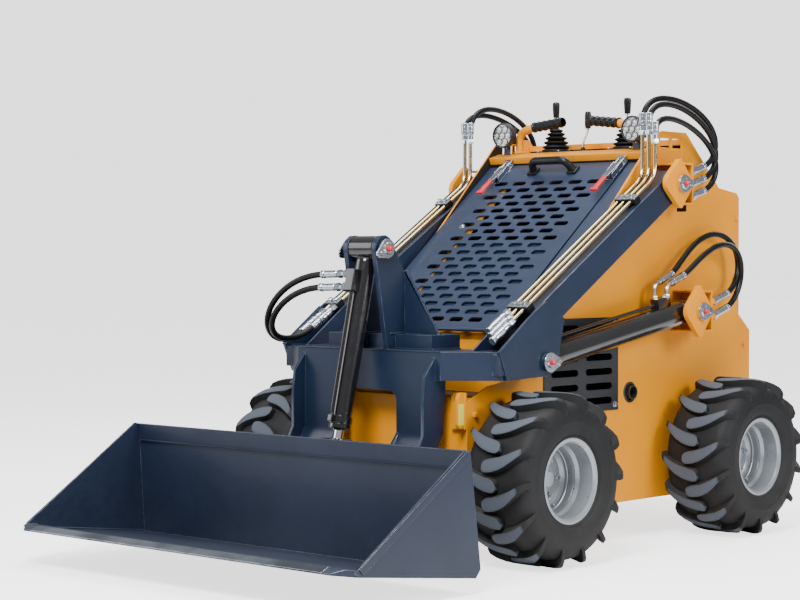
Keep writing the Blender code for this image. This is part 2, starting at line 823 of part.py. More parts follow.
def arm_gantry():
    """The cross box in front of the beams, its gussets, both legs and the cylinder tower."""
    top = 0.562
    low = 0.487
    back = -0.040
    plan = [
        (-ARM_OUTSIDE, back),
        (-ARM_OUTSIDE, -0.115),
        (-0.262, -0.212),
        (0.262, -0.212),
        (ARM_OUTSIDE, -0.115),
        (ARM_OUTSIDE, back),
    ]
    gantry = prism("arm_gantry", plan, "Z", low, top)
    t = 0.008
    hollow = box("arm_gantry_hollow", (-0.290, -0.178, low + t), (0.290, back + 0.02, top - t))
    cut(gantry, [hollow])
    others = []
    for side in (-1, 1):
        others += gusset_plates(side)
        others += leg_plates(side)
    others += tower_plates()
    others.append(arch_head())
    return finish(join(gantry, others), frame_paint)


def gusset_plates(side):
    """The two plates that hold a beam's front end and the lift rod's eye between them."""
    along, across = beam_frame()
    half = BEAM_HEIGHT / 2
    upper = moved(ARM_PIVOT, (along, BEAM_LENGTH - 0.030), (across, half + 0.003))
    lower = moved(ARM_PIVOT, (along, BEAM_LENGTH - 0.075), (across, -half))
    pin_y, pin_z = LIFT_FRONT_PIN
    outline = [
        (-0.138, 0.562),
        (-0.105, 0.488),
        (pin_y, pin_z - 0.038),
        (pin_y + 0.030, pin_z - 0.028),
        (pin_y + 0.044, pin_z),
        lower,
        upper,
        (0.010, 0.666),
    ]
    outer_low = ARM_OUTSIDE + GAP
    outer = prism(name_of("gusset_outer", side), outline, "X", *mirrored(side, outer_low, outer_low + 0.010))
    inner_high = ARM_INSIDE - GAP
    inner = prism(name_of("gusset_inner", side), outline, "X", *mirrored(side, inner_high - 0.006, inner_high))
    tie_outline = [(-0.130, 0.500), (-0.045, 0.500), (-0.045, 0.555), (-0.130, 0.555)]
    tie = prism(name_of("gusset_tie", side), tie_outline, "X", *mirrored(side, inner_high - 0.003, outer_low + 0.004))
    cap = disc(
        name_of("gusset_cap", side),
        "X",
        LIFT_FRONT_PIN,
        0.024,
        *mirrored(side, outer_low + 0.008, outer_low + 0.018),
    )
    return [outer, inner, tie, cap]


def leg_outline(front):
    """Side view of a front leg, from the cross box down to the bucket pin, with its front edge at one Y."""
    outline = [(-0.205, 0.555), (front + 0.007, 0.500), (front, 0.440), (front, 0.345)]
    outline += arc(BUCKET_PIN, 0.040, 165, 340, 6)
    outline += [(-0.178, 0.350), (-0.168, 0.500)]
    return outline


def leg_plates(side):
    """A leg: an outer side plate that stands forward, an inner one, two webs, and the bucket pin."""
    name = name_of("leg", side)
    inner = ARCH_HALF
    outer = LEG_OUTSIDE
    t = LEG_PLATE
    plates = [prism(name + "_inner", leg_outline(WEB_FRONT), "X", *mirrored(side, inner, inner + t))]
    plates.append(prism(name + "_outer", leg_outline(-0.257), "X", *mirrored(side, outer - t, outer)))
    back = WEB_FRONT + 0.009
    front = [(WEB_FRONT, 0.550), (WEB_FRONT, 0.345), (-0.240, 0.300)]
    front += [(-0.232, 0.297), (back, 0.342), (back, 0.550)]
    span = mirrored(side, inner + t / 2, outer - t / 2)
    plates.append(prism(name + "_front", front, "X", *span))
    rear = [(-0.168, 0.495), (-0.178, 0.350), (-0.205, 0.300), (-0.213, 0.300), (-0.186, 0.350), (-0.176, 0.495)]
    plates.append(prism(name + "_rear", rear, "X", *span))
    plates.append(disc(name + "_pin", "X", BUCKET_PIN, PIN_RADIUS, *mirrored(side, inner - 0.008, outer + 0.008)))
    return plates


def arch_head():
    """The web's round-cornered top over the opening between the legs."""
    radius = 0.030
    side = ARCH_HALF - radius
    outline = [(-ARCH_HALF - 0.005, 0.500), (-ARCH_HALF - 0.005, 0.410), (-ARCH_HALF, 0.410)]
    outline += arc((-side, ARCH_TOP - radius), radius, 180, 90, 4)
    outline += arc((side, ARCH_TOP - radius), radius, 90, 0, 4)
    outline += [(ARCH_HALF, 0.410), (ARCH_HALF + 0.005, 0.410), (ARCH_HALF + 0.005, 0.500)]
    return prism("arch_head", outline, "Y", WEB_FRONT, WEB_FRONT + 0.009)


def tower_plates():
    """The box, ears and side gussets that carry the top of the tilt cylinder."""
    top = TILT_TOP_PIN
    block = box("tower_box", (-0.190, -0.165, 0.555), (0.190, -0.050, 0.602))
    plates = [block]
    for side in (-1, 1):
        outline = arc(top, 0.036, 200, 20, 6)
        outline += [(-0.109, 0.738), (-0.060, 0.598), (-0.060, 0.500), (-0.185, 0.500)]
        plates.append(prism(name_of("tower_ear", side), outline, "X", *mirrored(side, 0.044, 0.060)))
        wing = [(0.055, 0.772), (0.064, 0.772), (0.180, 0.604), (0.180, 0.596), (0.055, 0.596)]
        wing = [(side * x, z) for x, z in wing]
        plates.append(prism(name_of("tower_wing", side), wing, "Y", -0.128, -0.118))
        plates.append(disc(name_of("tower_cap", side), "X", top, 0.023, *mirrored(side, 0.058, 0.068)))
    return plates


def arm_lines(side):
    """The hard lines on an arm, joined by their clamps, with the couplers at their front ends."""
    name = name_of("arm_lines", side)
    count = 3 if side > 0 else 2
    along, across = beam_frame()
    lines = []
    for i in range(count):
        lines.append(tube(f"{name}_{i}" if i else name, line_path(side, i), HARD_LINE_RADIUS, 2))
    base = BEAM_HEIGHT / 2 + 0.0007
    others = lines[1:]
    for i, distance in enumerate((0.215, 0.735)):
        low = moved(ARM_PIVOT, (along, distance - 0.014), (across, base))
        corners = [
            low,
            moved(low, (along, 0.028)),
            moved(low, (along, 0.028), (across, 0.022)),
            moved(low, (across, 0.022)),
        ]
        span = mirrored(side, ARM_INSIDE + 0.004, ARM_INSIDE + 0.030 + 0.022 * (count - 1))
        others.append(prism(f"{name}_clamp_{i}", corners, "X", *span))
    for i in range(count):
        path = line_path(side, i)
        way = (path[-1] - path[-2]).normalized()
        others.append(tube(f"{name}_coupler_{i}", [path[-1] - way * 0.010, coupler_end(side, i)], 0.0105, 2))
        way = (path[0] - path[1]).normalized()
        others.append(tube(f"{name}_union_{i}", [path[0] - way * 0.012, path[0] + way * 0.020], 0.0100, 2))
    return finish(join(lines[0], others), plated_line)


def line_path(side, i):
    """Points of one hard line: up from the beam at its rear end, then down along it."""
    along, across = beam_frame()
    x = side * (ARM_INSIDE + 0.014 + 0.022 * i)
    height = BEAM_HEIGHT / 2 + 0.012
    rise = 0.072
    reach = (rise + across[0] * height) / -along[0]
    start = moved(ARM_PIVOT, (along, reach), (across, height))
    low_end = (0.770 if side > 0 else 0.765) + 0.022 * i
    corners = [
        Vector((x, start[0], start[1] + 0.128 - (0.026 if i == 2 else 0.0))),
        Vector((x, *start)),
        Vector((x, *moved(ARM_PIVOT, (along, low_end), (across, height)))),
    ]
    return rounded_path(corners, 0.040, 0.20)


def coupler_end(side, i):
    """The free end of the coupler at the front of one hard line."""
    path = line_path(side, i)
    way = (path[-1] - path[-2]).normalized()
    return path[-1] + way * (0.085 if side > 0 else 0.060)


# Cylinders.


def cylinder_side(start, end):
    """Unit vectors along and across a cylinder."""
    way, length = direction(start, end)
    return way, (-way[1], way[0]), length


def bar(name, start, end, x, radius, sides=20):
    """A round bar between two (Y, Z) points at one X."""
    way, across, length = cylinder_side(start, end)
    shape = bmesh.new()
    bmesh.ops.create_cone(
        shape, cap_ends=True, segments=sides, radius1=radius, radius2=radius, depth=length
    )
    middle = Vector((x, (start[0] + end[0]) / 2, (start[1] + end[1]) / 2))
    turn = Vector((0, 0, 1)).rotation_difference(Vector((0, *way))).to_matrix().to_4x4()
    bmesh.ops.transform(shape, matrix=Matrix.Translation(middle) @ turn, verts=shape.verts)
    return object_from(name, shape, smooth=True)


def barrel(name, x, start, end, radius, rod_radius, gland, depth, width, port):
    """A barrel with its rear eye, open bore, end collar, port block and hard line."""
    way, across, length = cylinder_side(start, end)
    body = bar(name, moved(start, (way, 0.020)), moved(start, (way, gland)), x, radius)
    eye = disc(name + "_eye", "X", start, EYE_RADIUS + 0.004, x - width, x + width)
    collar = bar(
        name + "_collar", moved(start, (way, gland - 0.030)), moved(start, (way, gland - 0.001)), x, radius + 0.003
    )
    port_way = (-across[0], -across[1])

    def outside(name, low, high, top, half):
        """A block on the barrel's port side, between two distances from the rear eye."""
        corners = [moved(start, (way, at), (port_way, up)) for at, up in (
            (low, radius - 0.004), (high, radius - 0.004), (high, radius + top), (low, radius + top)
        )]
        return prism(name, corners, "X", x - half, x + half)

    block = outside(name + "_port", port, port + PORT_LENGTH, PORT_RISE, 0.015)
    line_start = moved(start, (way, port + PORT_LENGTH - 0.010), (port_way, radius + 0.010))
    line_end = moved(start, (way, gland - 0.020), (port_way, radius + 0.010))
    line = bar(name + "_line", line_start, line_end, x, 0.005, sides=10)
    foot = outside(name + "_foot", gland - 0.034, gland - 0.014, 0.018, 0.008)
    join(body, [eye, collar, block, line, foot])
    bore = bar(name + "_bore", moved(start, (way, depth)), moved(start, (way, gland + 0.05)), x, rod_radius + 0.0006)
    hole = disc(name + "_hole", "X", start, PIN_RADIUS + PIN_PLAY, x - width - 0.01, x + width + 0.01)
    return cut(body, [bore, hole])


def rod(name, x, start, end, radius, depth, width):
    """A rod with its eye, whose inner end stays inside the barrel."""
    way, across, length = cylinder_side(start, end)
    shaft = bar(name, moved(start, (way, depth)), moved(end, (way, -0.010)), x, radius)
    eye = disc(name + "_eye", "X", end, EYE_RADIUS - 0.002, x - width, x + width)
    return join(shaft, [eye])


LIFT_GLAND = 0.662
TILT_GLAND = 0.492
LIFT_PORT = 0.085
TILT_PORT = 0.066
PORT_LENGTH = 0.060
PORT_RISE = 0.026


def elbow_path(side, i):
    """Points of one elbow on a lift barrel: up from the port block, then to the rear."""
    way, across, _ = cylinder_side(LIFT_REAR_PIN, LIFT_FRONT_PIN)
    place = moved(LIFT_REAR_PIN, (way, LIFT_PORT + 0.014 + 0.032 * i), (across, -(LIFT_BARREL_RADIUS + PORT_RISE - 0.004)))
    x = side * (LIFT_CYLINDER_X + 0.010 * (1 - 2 * i))
    foot = Vector((x, *place))
    top = foot + Vector((0, 0, 0.034 + 0.010 * i))
    return foot, top, top + Vector((0, 0.072, 0.026))


def lift_cylinder(side):
    """Barrel and rod of a lift cylinder."""
    x = side * LIFT_CYLINDER_X
    made = barrel(
        name_of("lift_barrel", side),
        x,
        LIFT_REAR_PIN,
        LIFT_FRONT_PIN,
        LIFT_BARREL_RADIUS,
        LIFT_ROD_RADIUS,
        LIFT_GLAND,
        0.070,
        0.024,
        LIFT_PORT,
    )
    elbows = []
    for i in range(2):
        foot, top, end = elbow_path(side, i)
        elbows.append(tube(f"{made.name}_elbow_{i}", rounded_path([foot, top, end], 0.016, 0.05), 0.0062, 2))
        elbows.append(tube(f"{made.name}_ferrule_{i}", [top.lerp(end, 0.45), end + (end - top) * 0.02], 0.0095, 2))
    finish(join(made, elbows), cylinder_paint)
    sliding = rod(name_of("lift_rod", side), x, LIFT_REAR_PIN, LIFT_FRONT_PIN, LIFT_ROD_RADIUS, 0.190, 0.022)
    finish(sliding, chrome)
    return made, sliding


def tilt_cylinder():
    """Barrel and rod of the bucket's cylinder."""
    made = barrel(
        "tilt_barrel",
        0.0,
        TILT_TOP_PIN,
        TILT_ROD_PIN,
        TILT_BARREL_RADIUS,
        TILT_ROD_RADIUS,
        TILT_GLAND,
        0.060,
        0.042,
        TILT_PORT,
    )
    fittings = []
    for i in range(2):
        start, end = tilt_port(i)
        fittings.append(tube(f"tilt_barrel_fitting_{i}", [start - (end - start) * 0.1, end], 0.0100, 2))
    finish(join(made, fittings), cylinder_paint)
    sliding = rod("tilt_rod", 0.0, TILT_TOP_PIN, TILT_ROD_PIN, TILT_ROD_RADIUS, 0.130, 0.024)
    finish(sliding, chrome)
    return made, sliding


# Bucket.


def bucket_shell():
    """Back, floor with its thick lip, and both side plates."""
    half = BUCKET_WIDTH / 2
    t = BUCKET_PLATE
    back_way, _ = direction(BUCKET_TOP, BUCKET_BACK_FOOT)
    floor_way, _ = direction(BUCKET_HEEL, BUCKET_LIP)
    back_in = (-abs(back_way[1]), -abs(back_way[0]))
    floor_up = (floor_way[1], -floor_way[0])
    outline = [
        BUCKET_TOP,
        BUCKET_BACK_FOOT,
        BUCKET_HEEL,
        BUCKET_LIP,
        moved(BUCKET_LIP, (floor_up, 0.004)),
        moved(BUCKET_LIP, (floor_up, 0.016), (floor_way, -0.022)),
        moved(BUCKET_LIP, (floor_up, 0.016), (floor_way, -0.075)),
        moved(BUCKET_LIP, (floor_up, t), (floor_way, -0.078)),
        moved(BUCKET_HEEL, (floor_up, t), (floor_way, 0.008)),
        moved(BUCKET_TOP, (back_in, t)),
    ]
    shell = prism("bucket_shell", outline, "X", -half, half)
    corner_cuts = []
    plates = []
    for side in (-1, 1):
        corner = [(side * 0.536, -0.95), (side * (half + 0.02), -0.95), (side * (half + 0.02), -0.861)]
        corner_cuts.append(prism(name_of("bucket_corner", side), corner, "Z", 0.0, 0.2))
        outline = [
            moved(BUCKET_TOP, (back_way, 0.002)),
            BUCKET_BACK_FOOT,
            BUCKET_HEEL,
            (-0.868, 0.0865),
            (-0.893, 0.098),
            (-0.512, 0.350),
        ]
        span = mirrored(side, half - t, half)
        plates.append(prism(name_of("bucket_side", side), outline, "X", *span))
    cut(shell, corner_cuts)
    return finish(join(shell, plates), frame_paint)


def attachment_plate():
    """The plate behind the bucket with the ears for the tilt rod and the lugs on the leg pins."""
    back_way, _ = direction(BUCKET_TOP, BUCKET_BACK_FOOT)
    outward = (-back_way[1], back_way[0])
    top = moved(BUCKET_TOP, (back_way, 0.018), (outward, GAP))
    foot = moved(BUCKET_BACK_FOOT, (back_way, -0.014), (outward, GAP))
    outline = [top, foot, moved(foot, (outward, 0.010)), moved(top, (outward, 0.010))]
    plate = prism("attachment_plate", outline, "X", -0.270, 0.270)
    others = []
    lug_inside = ARCH_HALF + LEG_PLATE + 0.0025
    lug_outside = LEG_OUTSIDE - LEG_PLATE - 0.0025
    for side in (-1, 1):
        ear = arc(TILT_ROD_PIN, 0.030, -60, 100, 6)
        ear += [moved(top, (back_way, 0.004), (outward, 0.005)), moved(top, (back_way, 0.130), (outward, 0.005))]
        others.append(prism(name_of("rod_ear", side), ear, "X", *mirrored(side, 0.031, 0.045)))
        others.append(disc(name_of("rod_ear_cap", side), "X", TILT_ROD_PIN, 0.020, *mirrored(side, 0.043, 0.052)))
        lug = arc(BUCKET_PIN, 0.032, -70, 90, 6)
        lug += [moved(foot, (back_way, -0.130), (outward, 0.005)), moved(foot, (back_way, -0.004), (outward, 0.005))]
        others.append(prism(name_of("pin_lug", side), lug, "X", *mirrored(side, lug_inside, lug_outside)))
    join(plate, others)
    bores = []
    for side in (-1, 1):
        span = mirrored(side, ARCH_HALF, LEG_OUTSIDE)
        bores.append(disc(name_of("lug_bore", side), "X", BUCKET_PIN, PIN_RADIUS + PIN_PLAY, *span))
    return finish(cut(plate, bores), frame_paint)


# Hoses.


def hose_curve(corners, steps=14):
    """Points on a smooth curve through its end points, pulled by the points between them."""
    points = [Vector(corner) for corner in corners]
    path = []
    for i in range(steps + 1):
        level = list(points)
        t = i / steps
        while len(level) > 1:
            level = [a.lerp(b, t) for a, b in zip(level, level[1:])]
        path.append(level[0])
    return path


def hose_group(name, paths, tie):
    """Hoses held together by one tie, as one closed piece."""
    hoses = []
    for i, path in enumerate(paths):
        hoses.append(tube(f"{name}_{i}" if i else name, path, HOSE_RADIUS, 2))
    low, high = tie
    hoses.append(box(name + "_tie", low, high))
    return finish(join(hoses[0], hoses[1:]), rubber)


def tie_round(paths, margin=0.004):
    """The corners of a small block round the middle of each path."""
    middles = [path[len(path) // 2] for path in paths]
    reach = HOSE_RADIUS + margin
    low = [min(middle[k] for middle in middles) - reach for k in range(3)]
    high = [max(middle[k] for middle in middles) + reach for k in range(3)]
    low[1] = sum(middle[1] for middle in middles) / len(middles) - 0.010
    high[1] = low[1] + 0.020
    return low, high


def upper_hoses(side):
    """The hoses that loop from an arm's hard lines to the body over the arm's pivot."""
    paths = []
    for i in range(3 if side > 0 else 2):
        line = line_path(side, i)
        way = (line[0] - line[1]).normalized()
        start = line[0] + way * (0.020 + HOSE_GAP)
        union_start, union_end = upper_union(side, i)
        union_way = (union_end - union_start).normalized()
        end = union_end + union_way * HOSE_GAP
        paths.append(
            hose_curve(
                [
                    start,
                    start + way * (0.110 - 0.016 * i),
                    start + Vector((0, 0.130, 0.110 - 0.026 * i)),
                    Vector((end.x, end.y + 0.050, start.z + 0.076 - 0.030 * i)),
                    end + Vector((0, 0.150, 0.095)),
                    end + union_way * 0.070,
                    end,
                ]
            )
        )
    return hose_group(name_of("upper_hoses", side), paths, tie_round(paths))


def lift_hoses(side):
    """The two hoses that loop from a lift barrel's elbows to the body's lower unions."""
    paths = []
    for i in range(2):
        foot, top, elbow_end = elbow_path(side, i)
        way = (elbow_end - top).normalized()
        start = elbow_end + way * (0.002 + HOSE_GAP)
        union_start, union_end = lower_union(side, 1 - i)
        union_way = (union_end - union_start).normalized()
        end = union_end + union_way * HOSE_GAP
        side_step = Vector((side * 0.008 * (1 - 2 * i), 0, 0))
        paths.append(
            hose_curve(
                [
                    start,
                    start + way * 0.070,
                    start + Vector((0, 0.120, 0.090 + 0.036 * i)) + side_step,
                    start + Vector((0, 0.290, 0.210 + 0.024 * i)) + side_step,
                    end + Vector((0, 0.160 + 0.020 * i, 0.130)) + side_step,
                    end + union_way * 0.070,
                    end,
                ]
            )
        )
    return hose_group(name_of("lift_hoses", side), paths, tie_round(paths))


def tilt_port(i):
    """Start and end of one fitting on the left of the tilt barrel's port block."""
    way, across, _ = cylinder_side(TILT_TOP_PIN, TILT_ROD_PIN)
    along = TILT_PORT + 0.012 + 0.036 * i
    place = moved(TILT_TOP_PIN, (way, along), (across, -(TILT_BARREL_RADIUS + 0.012)))
    start = Vector((-0.015, *place))
    return start, start + Vector((-0.085, -0.004, -0.002))


def tilt_hoses():
    """The two hoses from the tilt barrel to the right arm's hard lines."""
    paths = []
    for i in range(2):
        fitting, start = tilt_port(i)
        way = (start - fitting).normalized()
        start = start + way * HOSE_GAP
        line = line_path(-1, 1 - i)
        line_way = (line[-1] - line[-2]).normalized()
        end = coupler_end(-1, 1 - i) + line_way * HOSE_GAP
        paths.append(
            hose_curve(
                [
                    start,
                    start + way * 0.120,
                    start + Vector((-0.235 + 0.030 * i, -0.020, -0.050)),
                    start + Vector((-0.290 + 0.020 * i, -0.045, -0.210 + 0.020 * i)),
                    end + line_way * 0.110 + Vector((0.010, 0, -0.010)),
                    end + line_way * 0.060,
                    end,
                ]
            )
        )
    return hose_group("tilt_hoses", paths, tie_round(paths))


# Joints.


def empty(name, parent, location):
    made = bpy.data.objects.new(name, None)
    made.empty_display_size = 0.05
    bpy.context.scene.collection.objects.link(made)
    made.parent = parent
    made.location = location
    return made


def carry(joint, place, pieces):
    """Hangs pieces on a joint's empty without moving them."""
    for piece in pieces:
        piece.parent = joint
        piece.location = -Vector(place)


def on_joint(name, parent, parent_place, place, pieces):
    """An empty on a joint, with the pieces that move with it."""
    joint = empty(name, parent, Vector(place) - Vector(parent_place))
    carry(joint, place, pieces)
    return joint


def build_body(root):
    """Everything fixed to the machine's body."""
    pieces = [body_tub(), control_deck(), rear_cover(), rear_step(), engine_block(), exhaust_pipe()]
    pieces.append(throttle_lever())
    for side in (-1, 1):
        pieces += [side_panel(side), vent_cover(side), upper_bracket(side), lower_bracket(side)]
        pieces += [hand_bar(side), joystick(side), work_lamp(side)]
        pieces += [upper_hoses(side), lift_hoses(side)]
    carry(root, (0, 0, 0), pieces)


def build_wheels(root):
    for side in (-1, 1):
        for axle, y in (("front", 0.0), ("rear", WHEELBASE)):
            stem = name_of(axle, side)
            pieces = [tyre("tyre_" + stem, side, y), rim("rim_" + stem, side, y)]
            place = (side * TRACK / 2, y, TYRE_RADIUS)
            on_joint("wheel_joint_" + stem, root, (0, 0, 0), place, pieces)


def build_loader(root):
    """Arms, bucket and cylinders, each on its joint."""
    pivot = (0, *ARM_PIVOT)
    pieces = [arm_gantry(), tilt_hoses()]
    for side in (-1, 1):
        pieces += [arm_beam(side), arm_lines(side)]
    arms = on_joint("arm_joint", root, (0, 0, 0), pivot, pieces)
    on_joint("bucket_joint", arms, pivot, (0, *BUCKET_PIN), [bucket_shell(), attachment_plate()])
    barrel_made, rod_made = tilt_cylinder()
    top = (0, *TILT_TOP_PIN)
    tilt = on_joint("tilt_barrel_joint", arms, pivot, top, [barrel_made])
    on_joint("tilt_rod_joint", tilt, top, (0, *TILT_ROD_PIN), [rod_made])
    for side in (-1, 1):
        barrel_made, rod_made = lift_cylinder(side)
        rear = (side * LIFT_CYLINDER_X, *LIFT_REAR_PIN)
        front = (side * LIFT_CYLINDER_X, *LIFT_FRONT_PIN)
        lift = on_joint(name_of("lift_barrel_joint", side), root, (0, 0, 0), rear, [barrel_made])
        on_joint(name_of("lift_rod_joint", side), lift, rear, front, [rod_made])


def build_doors(root):
    """The hood panel and the rear door, each on its hinge."""
    foot = (0, *moved(GRILLE_FOOT, (GRILLE_OUT, -0.013)))
    on_joint("grille_joint", root, (0, 0, 0), foot, [hood_grille(), grille_handle()])
    hinge = (-(HALF_BODY - PANEL_THICKNESS - 0.012), BODY_REAR - 0.005, 0.81)
    on_joint("rear_door_joint", root, (0, 0, 0), hinge, [rear_door()])


def main():
    clear_scene()
    root = empty("machine", None, (0, -MIDDLE_Y, 0))
    build_body(root)
    build_wheels(root)
    build_loader(root)
    build_doors(root)


main()
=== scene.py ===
"""The looks of a stand-on wheeled loader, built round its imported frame.

Lengths are metres in the frame's own axes: X across the machine, Y towards its rear, Z up.
Side views give points as (Y, Z), with Y counted from the front axle.
"""

import logging
import math
from dataclasses import dataclass
from enum import Enum
from functools import cache
from typing import Any, Callable, Iterable, Sequence

import bmesh
import bpy
from mathutils import Matrix, Vector

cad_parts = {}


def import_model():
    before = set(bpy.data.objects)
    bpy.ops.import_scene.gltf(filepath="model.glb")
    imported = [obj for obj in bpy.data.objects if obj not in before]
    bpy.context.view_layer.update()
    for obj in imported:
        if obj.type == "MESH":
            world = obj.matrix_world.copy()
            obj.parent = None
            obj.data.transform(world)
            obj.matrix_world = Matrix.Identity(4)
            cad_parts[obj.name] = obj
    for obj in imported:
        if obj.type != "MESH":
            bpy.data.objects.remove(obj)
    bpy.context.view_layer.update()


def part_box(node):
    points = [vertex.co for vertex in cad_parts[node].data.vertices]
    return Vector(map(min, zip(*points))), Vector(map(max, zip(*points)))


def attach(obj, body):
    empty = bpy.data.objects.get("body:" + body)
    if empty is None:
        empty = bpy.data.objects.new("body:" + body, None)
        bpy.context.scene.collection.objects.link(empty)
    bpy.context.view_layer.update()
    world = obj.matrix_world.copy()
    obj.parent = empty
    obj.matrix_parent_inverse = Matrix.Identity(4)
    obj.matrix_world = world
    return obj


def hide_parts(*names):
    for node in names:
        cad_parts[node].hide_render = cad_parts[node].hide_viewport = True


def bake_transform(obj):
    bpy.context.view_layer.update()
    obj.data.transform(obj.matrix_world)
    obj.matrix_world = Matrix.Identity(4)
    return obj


LOG = logging.getLogger("loader")
Pair = tuple[float, float]
Colour = tuple[float, float, float]
Radius = float | Callable[[float], float]
SIDES = (1, -1)

# Faces that meet at more than SHARP shade apart, and those within FLAT of one plane are joined.
SHARP = math.radians(38)
FLAT = math.radians(0.6)
# Points this close are one: in a frame node, and in what a node tree made. SLIVER is the
# shortest edge that a node's copy keeps, and POLE the radius under which a ring is one point.
MERGE_NODE = 3e-5
MERGE_TREE = 1e-6
SLIVER = 2e-4
POLE = 1e-6
# The wall left round an open tube end.
OPEN_END_WALL = 0.0022
# A face inside the engine bay gets painted shade, a dark finish, when it looks at the bay's middle
# by this cosine and lies this far behind the hood.
INWARD = 0.30
BAY_DEPTH = 0.012


def side_name(side: int) -> str:
    """The word for a side: left is +X."""
    return "left" if side > 0 else "right"


# Points and paths.


@dataclass(frozen=True)
class Datum:
    """Where the front axle's line stands along Y in the frame."""

    axle: float

    @classmethod
    def from_frame(cls) -> "Datum":
        """Reads the axle's place from a front tyre's box."""
        low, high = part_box("tyre_front_left")
        return cls((low.y + high.y) / 2)

    def at(self, x: float, y: float, z: float) -> Vector:
        """The frame's point for an X, a Y from the front axle and a height."""
        return Vector((x, y + self.axle, z))

    def side(self, x: float, point: Pair) -> Vector:
        """The frame's point for an X and a side-view point."""
        return self.at(x, *point)

    def outline(self, points: Iterable[Pair]) -> list[Pair]:
        """Side-view points moved into the frame."""
        return [(y + self.axle, z) for y, z in points]


def moved(point: Pair, *steps: tuple[Pair, float]) -> Pair:
    """A side-view point moved by pairs of direction and distance."""
    y, z = point
    for way, distance in steps:
        y += way[0] * distance
        z += way[1] * distance
    return y, z


def arc(centre: Pair, radius: float, start: float, end: float, steps: int) -> list[Pair]:
    """Points on an arc, from one angle in degrees to another."""
    points = []
    for i in range(steps + 1):
        angle = math.radians(start + (end - start) * i / steps)
        points.append((centre[0] + radius * math.cos(angle), centre[1] + radius * math.sin(angle)))
    return points


def bezier(corners: Sequence[Vector], steps: int) -> list[Vector]:
    """Points on the smooth curve that its inner corners pull.

    Args:
        corners: The curve's ends, with the points that pull it between them.
        steps: How many stretches the curve is cut into.

    Returns:
        The points, from the first corner to the last.
    """
    path = []
    for i in range(steps + 1):
        level = list(corners)
        while len(level) > 1:
            level = [a.lerp(b, i / steps) for a, b in zip(level, level[1:])]
        path.append(level[0])
    return path


def rounded(corners: Sequence[Vector], radius: float, steps: int = 6) -> list[Vector]:
    """A line through corners whose bends are rounded."""
    path = [corners[0]]
    for before, corner, after in zip(corners, corners[1:], corners[2:]):
        reach = min(radius, (before - corner).length * 0.49, (after - corner).length * 0.49)
        start = corner + (before - corner).normalized() * reach
        end = corner + (after - corner).normalized() * reach
        path += bezier([start, corner, end], steps)
    path.append(corners[-1])
    return path


def toward(way: Vector, origin: Vector) -> Matrix:
    """The matrix that stands a shape's +Z along a direction at a point."""
    turn = Vector((0, 0, 1)).rotation_difference(way).to_matrix().to_4x4()
    return Matrix.Translation(origin) @ turn


def basis(origin: Vector, across: Vector, along: Vector) -> Matrix:
    """The matrix whose X and Y run across and along a plane at a point."""
    x = across.normalized()
    z = x.cross(along).normalized()
    y = z.cross(x)
    turn = Matrix((x, y, z)).transposed().to_4x4()
    return Matrix.Translation(origin) @ turn


# Shapes.


Shape = bmesh.types.BMesh


def soften(shape: Shape, width: float, steps: int = 2, least: float = 30.0,
           clamp: bool = True) -> Shape:
    """Rounds a shape's sharp edges, and marks the middle of each rounding for wear.

    Args:
        shape: The shape, which is changed.
        width: How far each rounding reaches from its edge.
        steps: How many strips a rounding has.
        least: The angle in degrees past which an edge counts as sharp.
        clamp: Whether roundings stop where they would meet.

    Returns:
        The same shape.
    """
    layer = shape.verts.layers.float.get("edge") or shape.verts.layers.float.new("edge")
    limit = math.radians(least)
    edges = [e for e in shape.edges if e.is_manifold and e.calc_face_angle(0.0) > limit]
    if not edges:
        return shape
    made = bmesh.ops.bevel(
        shape, geom=edges, offset=width, segments=steps, profile=0.5, affect="EDGES",
        clamp_overlap=clamp
    )
    strips = set(made["faces"])
    for vert in made["verts"]:
        if vert.is_valid and all(face in strips for face in vert.link_faces):
            vert[layer] = 1.0
    return shape


def prism(outline: Sequence[Pair], axis: str, low: float, high: float, width: float = 0.0) -> Shape:
    """An outline pushed along an axis: (Y, Z) along X, (X, Z) along Y or (X, Y) along Z.

    Args:
        outline: The outline's corners in order.
        axis: The letter of the axis.
        low: Where the prism starts.
        high: Where it ends.
        width: The rounding of its edges, or 0 for none.

    Returns:
        The shape.
    """
    shape = bmesh.new()
    order = "XYZ".index(axis)
    ends = []
    for level in (low, high):
        ring = []
        for a, b in outline:
            point = [a, b]
            point.insert(order, level)
            ring.append(shape.verts.new(point))
        ends.append(ring)
    shape.faces.new(ends[0])
    shape.faces.new(ends[1])
    count = len(outline)
    for i in range(count):
        j = (i + 1) % count
        shape.faces.new((ends[0][i], ends[0][j], ends[1][j], ends[1][i]))
    bmesh.ops.recalc_face_normals(shape, faces=shape.faces)
    return soften(shape, width) if width else shape


def block(low: Sequence[float], high: Sequence[float], width: float = 0.0015) -> Shape:
    """A rounded block between two corners."""
    outline = [(low[0], low[1]), (high[0], low[1]), (high[0], high[1]), (low[0], high[1])]
    return prism(outline, "Z", low[2], high[2], width)


